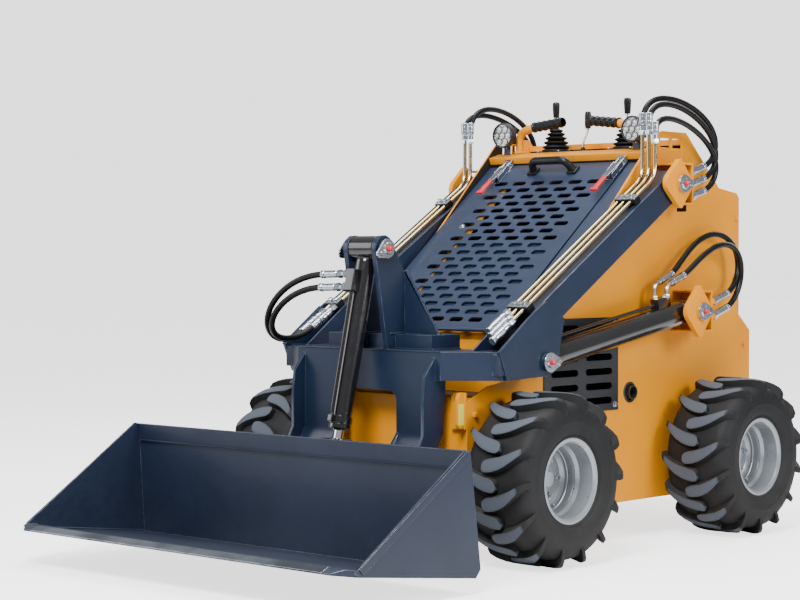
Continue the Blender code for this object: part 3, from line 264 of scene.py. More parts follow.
def turned(profile: Sequence[Pair], sides: int = 32, loop: bool = False) -> Shape:
    """A profile of (radius, height) points spun about +Z.

    Args:
        profile: The points in order, from the bottom up on the outside.
        sides: How many steps the turn has.
        loop: Whether the last point joins the first.

    Returns:
        The closed shape, with a pole where a radius is 0.
    """
    shape = bmesh.new()
    rings: list[list[Any]] = []
    for radius, height in profile:
        if radius < POLE:
            rings.append([shape.verts.new((0, 0, height))])
            continue
        ring = []
        for i in range(sides):
            angle = 2 * math.pi * i / sides
            ring.append(shape.verts.new((radius * math.cos(angle), radius * math.sin(angle),
                                         height)))
        rings.append(ring)
    pairs = list(zip(rings, rings[1:]))
    if loop:
        pairs.append((rings[-1], rings[0]))
    for below, above in pairs:
        for i in range(sides):
            j = (i + 1) % sides
            corners = [below[i % len(below)], below[j % len(below)], above[j % len(above)],
                       above[i % len(above)]]
            corners = list(dict.fromkeys(corners))
            if len(corners) > 2:
                shape.faces.new(corners)
    if not loop:
        for ring in (rings[0], rings[-1]):
            if len(ring) > 1:
                shape.faces.new(ring)
    bmesh.ops.recalc_face_normals(shape, faces=shape.faces)
    return shape


def tube(path: Sequence[Vector], radius: Radius, sides: int = 12, inner: float = 0.0) -> Shape:
    """A round bar along a path.

    Args:
        path: The points of its middle line.
        radius: Its radius, or a function of the share of the path that gives it.
        sides: How many sides it has.
        inner: The depth of the hollow at the far end, as on an open tube, or 0.

    Returns:
        The closed shape.
    """
    shape = bmesh.new()
    lengths = [0.0]
    for a, b in zip(path, path[1:]):
        lengths.append(lengths[-1] + (b - a).length)
    way = (path[1] - path[0]).normalized()
    out = way.orthogonal().normalized()
    rings = []
    last = len(path) - 1
    for i, point in enumerate(path):
        ahead = path[min(i + 1, last)] - path[max(i - 1, 0)]
        turn = way.rotation_difference(ahead.normalized())
        way = ahead.normalized()
        out = (turn @ out).normalized()
        other = way.cross(out)
        size = radius(lengths[i] / lengths[-1]) if callable(radius) else radius
        ring = []
        for k in range(sides):
            angle = 2 * math.pi * k / sides
            turned_out = out * math.cos(angle) + other * math.sin(angle)
            ring.append(shape.verts.new(point + turned_out * size))
        rings.append(ring)
    for below, above in zip(rings, rings[1:]):
        for k in range(sides):
            j = (k + 1) % sides
            shape.faces.new((below[k], below[j], above[j], above[k]))
    shape.faces.new(rings[0])
    cap = shape.faces.new(rings[-1])
    if inner:
        bmesh.ops.inset_region(shape, faces=[cap], thickness=OPEN_END_WALL)
        pushed = bmesh.ops.extrude_discrete_faces(shape, faces=[cap])["faces"]
        bmesh.ops.translate(shape, verts=pushed[0].verts, vec=-way * inner)
    bmesh.ops.recalc_face_normals(shape, faces=shape.faces)
    return shape


def bead(path: Sequence[Vector], radius: float = 0.003, pitch: float = 0.005) -> Shape:
    """A rippled weld bead along a line."""
    length = sum((b - a).length for a, b in zip(path, path[1:]))
    steps = max(4, int(length / pitch * 4))
    points = []
    for i in range(steps + 1):
        goal = length * i / steps
        for a, b in zip(path, path[1:]):
            span = (b - a).length
            if goal <= span + 1e-9:
                points.append(a.lerp(b, goal / span))
                break
            goal -= span
        else:
            points.append(path[-1].copy())
    ripples = length / pitch
    return tube(points, lambda t: radius * (0.82 + 0.18 * abs(math.sin(math.pi * t * ripples))), 7)


def hexagon(across: float, low: float, high: float) -> Shape:
    """A six-sided head or nut with a chamfered top."""
    radius = across / 2 / math.cos(math.pi / 6)
    top = high - (high - low) * 0.18
    return turned([(0, low), (radius, low), (radius, top), (radius * 0.86, high), (0, high)], 6)


def bolt(size: float, domed: bool = False) -> Shape:
    """A bolt head on its washer, standing on Z = 0; size is the head's width."""
    washer = turned([(0, 0), (size * 0.78, 0), (size * 0.78, size * 0.10),
                     (size * 0.6, size * 0.12), (0, size * 0.12)], 16)
    if domed:
        head = turned([(0, size * 0.1), (size * 0.5, size * 0.1), (size * 0.45, size * 0.3),
                       (size * 0.2, size * 0.42), (size * 0.16, size * 0.26), (0, size * 0.24)], 14)
    else:
        head = hexagon(size, size * 0.1, size * 0.55)
    return merged([washer, head])


def merged(shapes: Sequence[Shape]) -> Shape:
    """Several shapes as one."""
    whole = shapes[0]
    for other in shapes[1:]:
        copies = {vert: whole.verts.new(vert.co) for vert in other.verts}
        for face in other.faces:
            whole.faces.new([copies[vert] for vert in face.verts])
        other.free()
    return whole


# Finishes.


class Sockets:
    """A node tree with short ways to add nodes and links."""

    def __init__(self, tree: Any) -> None:
        """Keeps the tree."""
        self.tree = tree

    def add(self, kind: str, inputs: dict[Any, Any] | None = None, **settings: Any) -> Any:
        """A new node with settings, and with values or links for its inputs.

        Args:
            kind: The node's type name.
            inputs: Values, or output sockets to link, by input name or number.
            settings: The node's own properties.

        Returns:
            The node.
        """
        node = self.tree.nodes.new(kind)
        for key, value in settings.items():
            setattr(node, key, value)
        for key, value in (inputs or {}).items():
            if isinstance(value, bpy.types.NodeSocket):
                self.tree.links.new(value, node.inputs[key])
            else:
                node.inputs[key].default_value = value
        return node

    def maths(self, operation: str, *values: Any, clamp: bool = False) -> Any:
        """The output of a Math node."""
        node = self.add("ShaderNodeMath", dict(enumerate(values)), operation=operation,
                        use_clamp=clamp)
        return node.outputs[0]

    def blend(self, factor: Any, a: Any, b: Any, mode: str = "MIX") -> Any:
        """The output of a colour Mix node."""
        node = self.add("ShaderNodeMix", {0: factor, 6: a, 7: b}, data_type="RGBA", blend_type=mode)
        return node.outputs[2]

    def noise(self, coords: Any, scale: float, detail: float = 3.0, rough: float = 0.55) -> Any:
        """The value of a Noise texture."""
        values = {"Vector": coords, "Scale": scale, "Detail": detail, "Roughness": rough}
        return self.add("ShaderNodeTexNoise", values).outputs[0]

    def stretch(self, value: Any, low: float, high: float) -> Any:
        """A value moved from the span low to high onto 0 to 1, smoothly."""
        node = self.add("ShaderNodeMapRange", {0: value, 1: low, 2: high},
                        interpolation_type="SMOOTHSTEP")
        return node.outputs[0]


def shader_group(name: str, inputs: Sequence[tuple[str, str, Any]],
                 outputs: Sequence[tuple[str, str]]) -> Any:
    """An empty shader group with its sockets.

    Args:
        name: The group's name.
        inputs: Name, socket type and default of each input.
        outputs: Name and socket type of each output.

    Returns:
        The node tree.
    """
    tree = bpy.data.node_groups.new(name, "ShaderNodeTree")
    for label, kind, value in inputs:
        socket = tree.interface.new_socket(label, in_out="INPUT", socket_type=kind)
        socket.default_value = value
    for label, kind in outputs:
        tree.interface.new_socket(label, in_out="OUTPUT", socket_type=kind)
    return tree


@cache
def weathering_group() -> Any:
    """The shared group for mottling, worn edges and settled dust, built once."""
    number, colour = "NodeSocketFloat", "NodeSocketColor"
    tree = shader_group(
        "weathering",
        [
            ("Colour", colour, (0.5, 0.5, 0.5, 1)),
            ("Tint", colour, (0.5, 0.5, 0.5, 1)),
            ("Worn", colour, (0.5, 0.5, 0.5, 1)),
            ("Dust", colour, (0.4, 0.36, 0.3, 1)),
            ("Mottle", number, 0.1),
            ("Wear", number, 0.3),
            ("Dust Amount", number, 0.2),
            ("Roughness", number, 0.4),
            ("Grain Scale", number, 300.0),
        ],
        [("Colour", colour), ("Roughness", number), ("Height", number), ("Worn", number)],
    )
    nodes = Sockets(tree)
    given = nodes.add("NodeGroupInput").outputs
    coords = nodes.add("ShaderNodeTexCoord").outputs["Object"]
    broad = nodes.noise(coords, 4.5, 4.0)
    middle = nodes.noise(coords, 38.0, 5.0, 0.65)
    fine = nodes.noise(coords, given["Grain Scale"], 2.0)
    cloud = nodes.stretch(broad, 0.32, 0.70)
    tinted = nodes.blend(nodes.maths("MULTIPLY", cloud, given["Mottle"]), given["Colour"],
                         given["Tint"])
    edge = nodes.add("ShaderNodeAttribute", attribute_name="edge").outputs["Fac"]
    reach = nodes.maths("ADD", edge,
                        nodes.maths("MULTIPLY", nodes.maths("SUBTRACT", middle, 0.5), 1.5))
    start = nodes.maths("SUBTRACT", 1.25, given["Wear"])
    over = nodes.maths("SUBTRACT", reach, start)
    worn = nodes.maths("MULTIPLY", nodes.maths("MULTIPLY", over, 5.0, clamp=True), edge, clamp=True)
    rubbed = nodes.blend(worn, tinted, given["Worn"])
    up = nodes.add("ShaderNodeSeparateXYZ",
                   {0: nodes.add("ShaderNodeNewGeometry").outputs["Normal"]}).outputs[2]
    height = nodes.add("ShaderNodeSeparateXYZ", {0: coords}).outputs[2]
    low = nodes.maths("SUBTRACT", 1.0, nodes.stretch(height, 0.02, 0.45))
    top = nodes.stretch(up, 0.35, 0.95)
    settled = nodes.maths("MULTIPLY", nodes.maths("ADD", nodes.maths("MULTIPLY", low, 0.75), top),
                          middle)
    dust = nodes.maths("MULTIPLY", settled, given["Dust Amount"], clamp=True)
    nodes_colour = nodes.blend(dust, rubbed, given["Dust"])
    rough = nodes.maths("ADD", given["Roughness"],
                        nodes.maths("MULTIPLY", nodes.maths("SUBTRACT", middle, 0.5), 0.22))
    rough = nodes.maths("ADD", rough, nodes.maths("MULTIPLY", dust, 0.5), clamp=True)
    relief = nodes.maths("ADD", nodes.maths("MULTIPLY", fine, 0.6),
                         nodes.maths("MULTIPLY", middle, 0.4))
    relief = nodes.maths("SUBTRACT", relief, nodes.maths("MULTIPLY", worn, 0.5))
    ends = {"Colour": nodes_colour, "Roughness": rough, "Height": relief, "Worn": worn}
    nodes.add("NodeGroupOutput", ends)
    return tree


@dataclass(frozen=True)
class Finish:
    """One surface: its colours, gloss, wear, dust and grain."""

    name: str
    colour: Colour
    tint: Colour
    worn: Colour
    roughness: float
    mottle: float
    wear: float
    dust: float
    grain: float
    grain_scale: float
    metallic: float = 0.0
    coat: float = 0.0
    specular: float = 0.5
    worn_metal: bool = False

    def material(self) -> Any:
        """The material, built the first time that it is asked for."""
        found = bpy.data.materials.get(self.name)
        if found:
            return found
        made = bpy.data.materials.new(self.name)
        made.use_nodes = True
        nodes = Sockets(made.node_tree)
        shader = made.node_tree.nodes["Principled BSDF"]
        group = nodes.add("ShaderNodeGroup", node_tree=weathering_group())
        for label, value in (("Colour", self.colour), ("Tint", self.tint), ("Worn", self.worn)):
            group.inputs[label].default_value = (*value, 1)
        for label, value in (
            ("Mottle", self.mottle),
            ("Wear", self.wear),
            ("Dust Amount", self.dust),
            ("Roughness", self.roughness),
            ("Grain Scale", self.grain_scale),
        ):
            group.inputs[label].default_value = value
        bump = nodes.add("ShaderNodeBump",
                         {"Strength": self.grain, "Distance": 0.002,
                          "Height": group.outputs["Height"]})
        links = made.node_tree.links
        links.new(group.outputs["Colour"], shader.inputs["Base Color"])
        links.new(group.outputs["Roughness"], shader.inputs["Roughness"])
        links.new(bump.outputs[0], shader.inputs["Normal"])
        shader.inputs["Metallic"].default_value = self.metallic
        if self.worn_metal:
            links.new(nodes.maths("MULTIPLY", group.outputs["Worn"], 0.8),
                      shader.inputs["Metallic"])
        shader.inputs["Coat Weight"].default_value = self.coat
        shader.inputs["Specular IOR Level"].default_value = self.specular
        shader.inputs["Coat Roughness"].default_value = 0.12
        return made


class Surface(Enum):
    """The machine's finishes.

    Each gives its colour, tint and worn colour, then roughness, mottle, wear, dust, grain and the
    grain's scale.
    """

    BODY = Finish("body_yellow", (0.70, 0.262, 0.0002), (0.62, 0.215, 0.0002), (0.40, 0.24, 0.06),
                  0.34, 0.55, 0.20, 0.015, 0.05, 420, coat=0.05, specular=0.25)
    FRAME = Finish("frame_slate", (0.0065, 0.0135, 0.033), (0.010, 0.020, 0.046),
                   (0.12, 0.15, 0.19), 0.33, 0.8, 0.36, 0.035, 0.10, 260, coat=0.10, specular=0.35)
    GRILLE = Finish("grille_slate", (0.010, 0.020, 0.046), (0.015, 0.028, 0.062),
                    (0.14, 0.17, 0.21), 0.36, 0.8, 0.25, 0.02, 0.08, 320, coat=0.15)
    BUCKET = Finish("bucket_slate", (0.0050, 0.0115, 0.030), (0.010, 0.018, 0.040),
                    (0.20, 0.22, 0.25), 0.38, 0.9, 0.55, 0.04, 0.14, 190,
                    coat=0.06, specular=0.32, worn_metal=True)
    CYLINDER = Finish("cylinder_black", (0.004, 0.004, 0.005), (0.008, 0.008, 0.010),
                      (0.08, 0.08, 0.08), 0.18, 0.5, 0.15, 0.02, 0.04, 500, coat=0.6)
    CHROME = Finish("rod_chrome", (0.78, 0.79, 0.82), (0.70, 0.72, 0.76), (0.8, 0.8, 0.8),
                    0.10, 0.3, 0.1, 0.03, 0.02, 900, metallic=1.0)
    STEEL = Finish("worn_steel", (0.20, 0.23, 0.27), (0.035, 0.050, 0.075), (0.80, 0.82, 0.85),
                   0.36, 1.0, 0.8, 0.08, 0.22, 160, metallic=0.85)
    ZINC = Finish("zinc_plate", (0.56, 0.60, 0.65), (0.38, 0.43, 0.50), (0.70, 0.70, 0.70),
                  0.22, 0.7, 0.4, 0.03, 0.04, 420, metallic=1.0)
    GOLD = Finish("gold_zinc_tube", (0.62, 0.46, 0.22), (0.60, 0.56, 0.46), (0.75, 0.72, 0.62),
                  0.15, 0.9, 0.3, 0.02, 0.03, 500, metallic=1.0)
    TYRE = Finish("tyre_rubber", (0.0065, 0.0068, 0.0080), (0.012, 0.013, 0.015),
                  (0.062, 0.074, 0.096), 0.60, 0.8, 0.90, 0.06, 0.22, 170, specular=0.18)
    RIM = Finish("rim_silver", (0.33, 0.355, 0.38), (0.24, 0.26, 0.285), (0.50, 0.50, 0.50),
                 0.30, 0.8, 0.4, 0.10, 0.07, 350, metallic=0.55, coat=0.2)
    HOSE = Finish("hose_rubber", (0.0030, 0.0032, 0.0042), (0.006, 0.006, 0.008),
                  (0.04, 0.04, 0.04), 0.30, 0.7, 0.2, 0.01, 0.10, 650, specular=0.20)
    BOOT = Finish("boot_rubber", (0.0035, 0.0036, 0.0042), (0.012, 0.012, 0.013),
                  (0.05, 0.05, 0.05), 0.48, 0.6, 0.3, 0.02, 0.14, 480, specular=0.20)
    GRIP = Finish("grip_plastic", (0.0035, 0.0038, 0.0046), (0.010, 0.011, 0.012),
                  (0.06, 0.06, 0.06), 0.32, 0.5, 0.3, 0.01, 0.16, 700, specular=0.25)
    RED = Finish("red_plastic", (0.60, 0.006, 0.020), (0.48, 0.004, 0.014), (0.62, 0.08, 0.10),
                 0.34, 0.5, 0.3, 0.02, 0.07, 520)
    LAMP = Finish("lamp_housing", (0.020, 0.021, 0.024), (0.035, 0.036, 0.040), (0.2, 0.2, 0.2),
                  0.38, 0.6, 0.3, 0.04, 0.10, 380, metallic=0.3)
    MIRROR = Finish("lamp_reflector", (0.30, 0.31, 0.33), (0.20, 0.21, 0.23), (0.5, 0.5, 0.5),
                    0.22, 0.5, 0.1, 0.02, 0.03, 500, metallic=1.0)
    LENS = Finish("led_lens", (0.70, 0.68, 0.55), (0.62, 0.55, 0.30), (0.7, 0.7, 0.7),
                  0.10, 0.8, 0.0, 0.02, 0.02, 500, coat=0.8)
    VENT = Finish("vent_grey", (0.008, 0.010, 0.014), (0.013, 0.016, 0.021), (0.10, 0.11, 0.12),
                  0.38, 0.7, 0.25, 0.05, 0.09, 380, coat=0.15)
    # The engine's own dark finish, also painted on the bay's inward body faces as shade.
    ENGINE_AND_BAY_SHADE = Finish("engine_dark_and_bay_shade", (0.010, 0.010, 0.011), (0.018, 0.017, 0.016), (0.10, 0.10, 0.10),
                    0.55, 0.9, 0.3, 0.08, 0.35, 120, metallic=0.4)
    DECAL = Finish("blank_plate", (0.60, 0.62, 0.08), (0.52, 0.54, 0.06), (0.5, 0.5, 0.2),
                   0.35, 0.4, 0.2, 0.08, 0.03, 500)
    EXHAUST = Finish("exhaust_steel", (0.060, 0.052, 0.046), (0.110, 0.080, 0.056),
                     (0.25, 0.22, 0.2), 0.50, 0.9, 0.4, 0.12, 0.20, 240, metallic=0.7)


# Pieces.


class Piece:
    """A mesh under construction in the frame, dressed face by face."""

    def __init__(self, name: str) -> None:
        """Starts an empty piece."""
        self.name = name
        self.coords: list[Vector] = []
        self.faces: list[list[int]] = []
        self.dress: list[int] = []
        self.edges: list[float] = []
        self.surfaces: list[Surface] = []

    def take(self, shape: Shape, surface: Surface, place: Matrix | None = None) -> "Piece":
        """Adds a shape in one finish and frees it.

        Args:
            shape: The shape.
            surface: Its finish.
            place: Where it goes, or None if it is in place.

        Returns:
            This piece, for the next call.
        """
        if place is not None:
            shape.transform(place)
        if surface not in self.surfaces:
            self.surfaces.append(surface)
        index = self.surfaces.index(surface)
        start = len(self.coords)
        layer = shape.verts.layers.float.get("edge")
        shape.verts.index_update()
        for vert in shape.verts:
            self.coords.append(vert.co.copy())
            self.edges.append(vert[layer] if layer else 0.0)
        for face in shape.faces:
            self.faces.append([start + vert.index for vert in face.verts])
            self.dress.append(index)
        shape.free()
        return self

    def spin(self, profile: Sequence[Pair], sides: int, surface: Surface, way: Vector, foot: Vector,
             loop: bool = False) -> "Piece":
        """Adds a profile turned about a direction, standing at a point."""
        return self.take(turned(profile, sides, loop), surface, toward(way, foot))

    def rod(self, radius: float, low: float, high: float, sides: int, way: Vector,
            foot: Vector) -> "Piece":
        """Adds a plated round stretch between two heights above a point."""
        return self.spin([(0, low), (radius, low), (radius, high), (0, high)], sides, Surface.ZINC,
                         way, foot)

    def nut(self, across: float, low: float, high: float, way: Vector, foot: Vector) -> "Piece":
        """Adds a plated six-sided nut between two heights above a point."""
        return self.take(hexagon(across, low, high), Surface.ZINC, toward(way, foot))

    def take_node(self, node: str, surface: Surface, width: float = 0.0015,
                  least: float = 32.0) -> "Piece":
        """Adds a merged copy of a frame node with its sharp edges rounded."""
        shape = bmesh.new()
        shape.from_mesh(bpy.data.objects[node].data)
        bmesh.ops.remove_doubles(shape, verts=shape.verts, dist=MERGE_NODE)
        bmesh.ops.dissolve_limit(
            shape, angle_limit=FLAT, verts=shape.verts, edges=shape.edges, delimit={"NORMAL"}
        )
        bmesh.ops.dissolve_degenerate(shape, edges=shape.edges, dist=SLIVER)
        if width:
            soften(shape, width, 2, least, clamp=False)
        return self.take(shape, surface)

    def paint_bay_shade(self, layout: "Layout", surface: Surface) -> "Piece":
        """Paints shade, a dark finish, on the faces that look into the engine bay below the deck.

        Args:
            layout: The shared points.
            surface: The dark finish that stands for the bay's shade.

        Returns:
            This piece, for the next call.
        """
        self.surfaces.append(surface)
        centre = layout.datum.at(0, 0.45, 0.66)
        out = Vector((0, *layout.hood_out))
        foot = layout.on_hood(0, 0, 0)
        for i, face in enumerate(self.faces):
            corners = [self.coords[k] for k in face]
            middle = sum(corners, Vector()) / len(corners)
            facing = sum((a.cross(b) for a, b in zip(corners, corners[1:] + corners[:1])),
                         Vector()).normalized()
            # A face deep in the bay that looks at its middle takes the dark finish as painted
            # shade.
            inside = abs(middle.x) < layout.half_body - 0.0015 and middle.z < layout.deck - 0.010
            behind = (middle - foot).dot(out) < -BAY_DEPTH
            if inside and behind and facing.dot((centre - middle).normalized()) > INWARD:
                self.dress[i] = len(self.surfaces) - 1
        return self

    def take_mesh(self, mesh: Any, surface: Surface, place: Matrix | None = None) -> "Piece":
        """Adds a mesh that a node tree made, and removes it."""
        shape = bmesh.new()
        shape.from_mesh(mesh)
        bpy.data.meshes.remove(mesh)
        bmesh.ops.remove_doubles(shape, verts=shape.verts, dist=MERGE_TREE)
        return self.take(shape, surface, place)

    def build(self) -> Any:
        """The finished object, at the origin with its place in its mesh."""
        mesh = bpy.data.meshes.new(self.name)
        mesh.from_pydata([tuple(point) for point in self.coords], [], self.faces)
        for surface in self.surfaces:
            mesh.materials.append(surface.value.material())
        mesh.polygons.foreach_set("material_index", self.dress)
        attribute = mesh.attributes.new("edge", "FLOAT", "POINT")
        attribute.data.foreach_set("value", self.edges)
        mesh.shade_smooth()
        mesh.set_sharp_from_angle(angle=SHARP)
        mesh.update()
        made = bpy.data.objects.new(self.name, mesh)
        bpy.context.scene.collection.objects.link(made)
        weigh = made.modifiers.new("even_normals", "WEIGHTED_NORMAL")
        weigh.keep_sharp = True
        graph = bpy.context.evaluated_depsgraph_get()
        made.data = bpy.data.meshes.new_from_object(made.evaluated_get(graph))
        made.data.name = self.name
        made.modifiers.clear()
        return made

    def on(self, body: str, slot: str, *nodes: str) -> Any:
        """Builds the piece, rides it on a body and hides the frame nodes that it stands for.

        Args:
            body: The body that it moves with.
            slot: The record's material slot; not used.
            nodes: The frame nodes that it stands for.

        Returns:
            The object.
        """
        made = self.build()
        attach(made, body)
        if nodes:
            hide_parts(*nodes)
        LOG.info("%s: %d faces on %s", self.name, len(made.data.polygons), body)
        return made

    def across(self, a: str, b: str, start: Vector, end: Vector, slot: str, *nodes: str) -> Any:
        """Builds the piece fixed in place, baked into the frame, between two bodies.

        Args:
            a: The body at the piece's first end, named in the log.
            b: The body at its last end, named in the log.
            start: Where it would start to follow b; not used.
            end: Where it would follow b fully; not used.
            slot: The record's material slot; not used.
            nodes: The frame nodes that it stands for.

        Returns:
            The object.
        """
        made = self.build()
        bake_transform(made)
        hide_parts(*nodes)
        LOG.info("%s: %d faces between %s and %s", self.name, len(made.data.polygons), a, b)
        return made


# Node trees that repeat a shape.


def geometry_tree(name: str, inputs: Sequence[tuple[str, str]]) -> tuple[Any, Sockets, Any]:
    """A Geometry Nodes tree with a geometry input and output and more named inputs.

    Args:
        name: The tree's name.
        inputs: Name and socket type of each further input.

    Returns:
        The tree, its node helper and the outputs of its group input.
    """
    tree = bpy.data.node_groups.new(name, "GeometryNodeTree")
    tree.interface.new_socket("Geometry", in_out="INPUT", socket_type="NodeSocketGeometry")
    for label, kind in inputs:
        tree.interface.new_socket(label, in_out="INPUT", socket_type=kind)
    tree.interface.new_socket("Geometry", in_out="OUTPUT", socket_type="NodeSocketGeometry")
    nodes = Sockets(tree)
    return tree, nodes, nodes.add("NodeGroupInput").outputs


def end_tree(nodes: Sockets, geometry: Any, material: Any) -> None:
    """Ends a tree in Realize Instances and Set Material."""
    real = nodes.add("GeometryNodeRealizeInstances", {0: geometry}).outputs[0]
    dressed = nodes.add("GeometryNodeSetMaterial",
                        {"Geometry": real, "Material": material}).outputs[0]
    nodes.add("NodeGroupOutput", {0: dressed})


@cache
def ring_tree() -> Any:
    """The tree that repeats its own geometry in a ring about +Z."""
    number = "NodeSocketFloat"
    tree, nodes, given = geometry_tree(
        "ring_of_copies",
        [("Count", "NodeSocketInt"), ("Phase", number), ("Material", "NodeSocketMaterial")]
    )
    points = nodes.add("GeometryNodePoints", {"Count": given["Count"]}).outputs[0]
    index = nodes.add("GeometryNodeInputIndex").outputs[0]
    share = nodes.maths("DIVIDE", index, given["Count"])
    angle = nodes.maths("ADD", nodes.maths("MULTIPLY", share, 2 * math.pi), given["Phase"])
    turn = nodes.add("ShaderNodeCombineXYZ", {2: angle}).outputs[0]
    copies = nodes.add(
        "GeometryNodeInstanceOnPoints",
        {"Points": points, "Instance": given["Geometry"], "Rotation": turn}
    )
    end_tree(nodes, copies.outputs[0], given["Material"])
    return tree


@cache
def scatter_tree() -> Any:
    """The tree that stands its shape on each point of another object, along the point's facing."""
    tree, nodes, given = geometry_tree(
        "copies_on_points", [("Places", "NodeSocketObject"), ("Material", "NodeSocketMaterial")]
    )
    places = nodes.add("GeometryNodeObjectInfo", {0: given["Places"]}).outputs["Geometry"]
    facing = nodes.add("GeometryNodeInputNamedAttribute", {"Name": "facing"},
                       data_type="FLOAT_VECTOR").outputs[0]
    turn = nodes.add("FunctionNodeAlignRotationToVector", {"Vector": facing}, axis="Z").outputs[0]
    copies = nodes.add(
        "GeometryNodeInstanceOnPoints",
        {"Points": places, "Instance": given["Geometry"], "Rotation": turn}
    )
    end_tree(nodes, copies.outputs[0], given["Material"])
    return tree


@cache
def perforation_tree() -> Any:
    """The tree that makes a flat sheet with a rounded slot at each of its points."""
    number = "NodeSocketFloat"
    tree, nodes, given = geometry_tree(
        "slotted_sheet",
        [
            ("Width", number),
            ("Height", number),
            ("Slot Length", number),
            ("Slot Width", number),
            ("Thickness", number),
            ("Material", "NodeSocketMaterial"),
        ],
    )
    outline = nodes.add(
        "GeometryNodeCurvePrimitiveQuadrilateral",
        {"Width": given["Width"], "Height": given["Height"]}
    ).outputs[0]
    hole = nodes.add(
        "GeometryNodeCurvePrimitiveQuadrilateral",
        {"Width": given["Slot Length"], "Height": given["Slot Width"]}
    ).outputs[0]
    radius = nodes.maths("MULTIPLY", given["Slot Width"], 0.498)
    hole = nodes.add("GeometryNodeFilletCurve", {"Curve": hole, "Radius": radius, "Count": 4},
                     mode="POLY").outputs[0]
    holes = nodes.add("GeometryNodeInstanceOnPoints",
                      {"Points": given["Geometry"], "Instance": hole}).outputs[0]
    curves = nodes.add("GeometryNodeRealizeInstances", {0: holes}).outputs[0]
    both = nodes.add("GeometryNodeJoinGeometry")
    tree.links.new(outline, both.inputs[0])
    tree.links.new(curves, both.inputs[0])
    face = nodes.add("GeometryNodeFillCurve", {"Curve": both.outputs[0]},
                     mode="TRIANGLES").outputs[0]
    offset = nodes.add("ShaderNodeCombineXYZ", {2: given["Thickness"]}).outputs[0]
    pushed = nodes.add("GeometryNodeExtrudeMesh",
                       {"Mesh": face, "Offset": offset, "Individual": False}).outputs[0]
    back = nodes.add("GeometryNodeFlipFaces", {0: face}).outputs[0]
    sheet = nodes.add("GeometryNodeJoinGeometry")
    tree.links.new(pushed, sheet.inputs[0])
    tree.links.new(back, sheet.inputs[0])
    closed = nodes.add("GeometryNodeMergeByDistance", {0: sheet.outputs[0]}).outputs[0]
    end_tree(nodes, closed, given["Material"])
    return tree


def run_tree(tree: Any, shape: Shape, values: dict[str, Any]) -> Any:
    """Runs a tree on a shape and gives the plain mesh that it makes.

    Args:
        tree: The Geometry Nodes tree.
        shape: The geometry that it starts from, which is freed.
        values: The tree's inputs by name.

    Returns:
        The mesh.
    """
    mesh = bpy.data.meshes.new("tree_input")
    shape.to_mesh(mesh)
    shape.free()
    carrier = bpy.data.objects.new("tree_input", mesh)
    bpy.context.scene.collection.objects.link(carrier)
    modifier = carrier.modifiers.new("tree", "NODES")
    modifier.node_group = tree
    for item in tree.interface.items_tree:
        if item.item_type == "SOCKET" and item.in_out == "INPUT" and item.name in values:
            modifier[item.identifier] = values[item.name]
    graph = bpy.context.evaluated_depsgraph_get()
    made = bpy.data.meshes.new_from_object(carrier.evaluated_get(graph))
    bpy.data.objects.remove(carrier)
    bpy.data.meshes.remove(mesh)
    return made


def ring(shape: Shape, count: int, surface: Surface, phase: float = 0.0) -> Any:
    """A mesh of copies of a shape in a ring about +Z."""
    values = {"Count": count, "Phase": phase, "Material": surface.value.material()}
    return run_tree(ring_tree(), shape, values)


def scattered(shape: Shape, places: Sequence[tuple[Vector, Vector]], surface: Surface) -> Any:
    """A mesh of copies of a shape, one at each place, each standing along its facing."""
    mesh = bpy.data.meshes.new("places")
    mesh.from_pydata([tuple(point) for point, _ in places], [], [])
    facing = mesh.attributes.new("facing", "FLOAT_VECTOR", "POINT")
    facing.data.foreach_set("vector", [value for _, way in places for value in way])
    holder = bpy.data.objects.new("places", mesh)
    bpy.context.scene.collection.objects.link(holder)
    made = run_tree(scatter_tree(), shape, {"Places": holder, "Material": surface.value.material()})
    bpy.data.objects.remove(holder)
    bpy.data.meshes.remove(mesh)
    return made


def slotted(width: float, height: float, centres: Sequence[Pair], size: Pair, thickness: float,
            surface: Surface) -> Any:
    """A flat sheet about the origin with a slot at each centre.

    Args:
        width: The sheet's width along X.
        height: Its height along Y.
        centres: The slots' centres.
        size: Length and width of a slot.
        thickness: The sheet's thickness, along +Z.
        surface: Its finish.

    Returns:
        The mesh.
    """
    shape = bmesh.new()
    for x, y in centres:
        shape.verts.new((x, y, 0))
    values = {
        "Width": width,
        "Height": height,
        "Slot Length": size[0],
        "Slot Width": size[1],
        "Thickness": thickness,
        "Material": surface.value.material(),
    }
    return run_tree(perforation_tree(), shape, values)


# The machine.


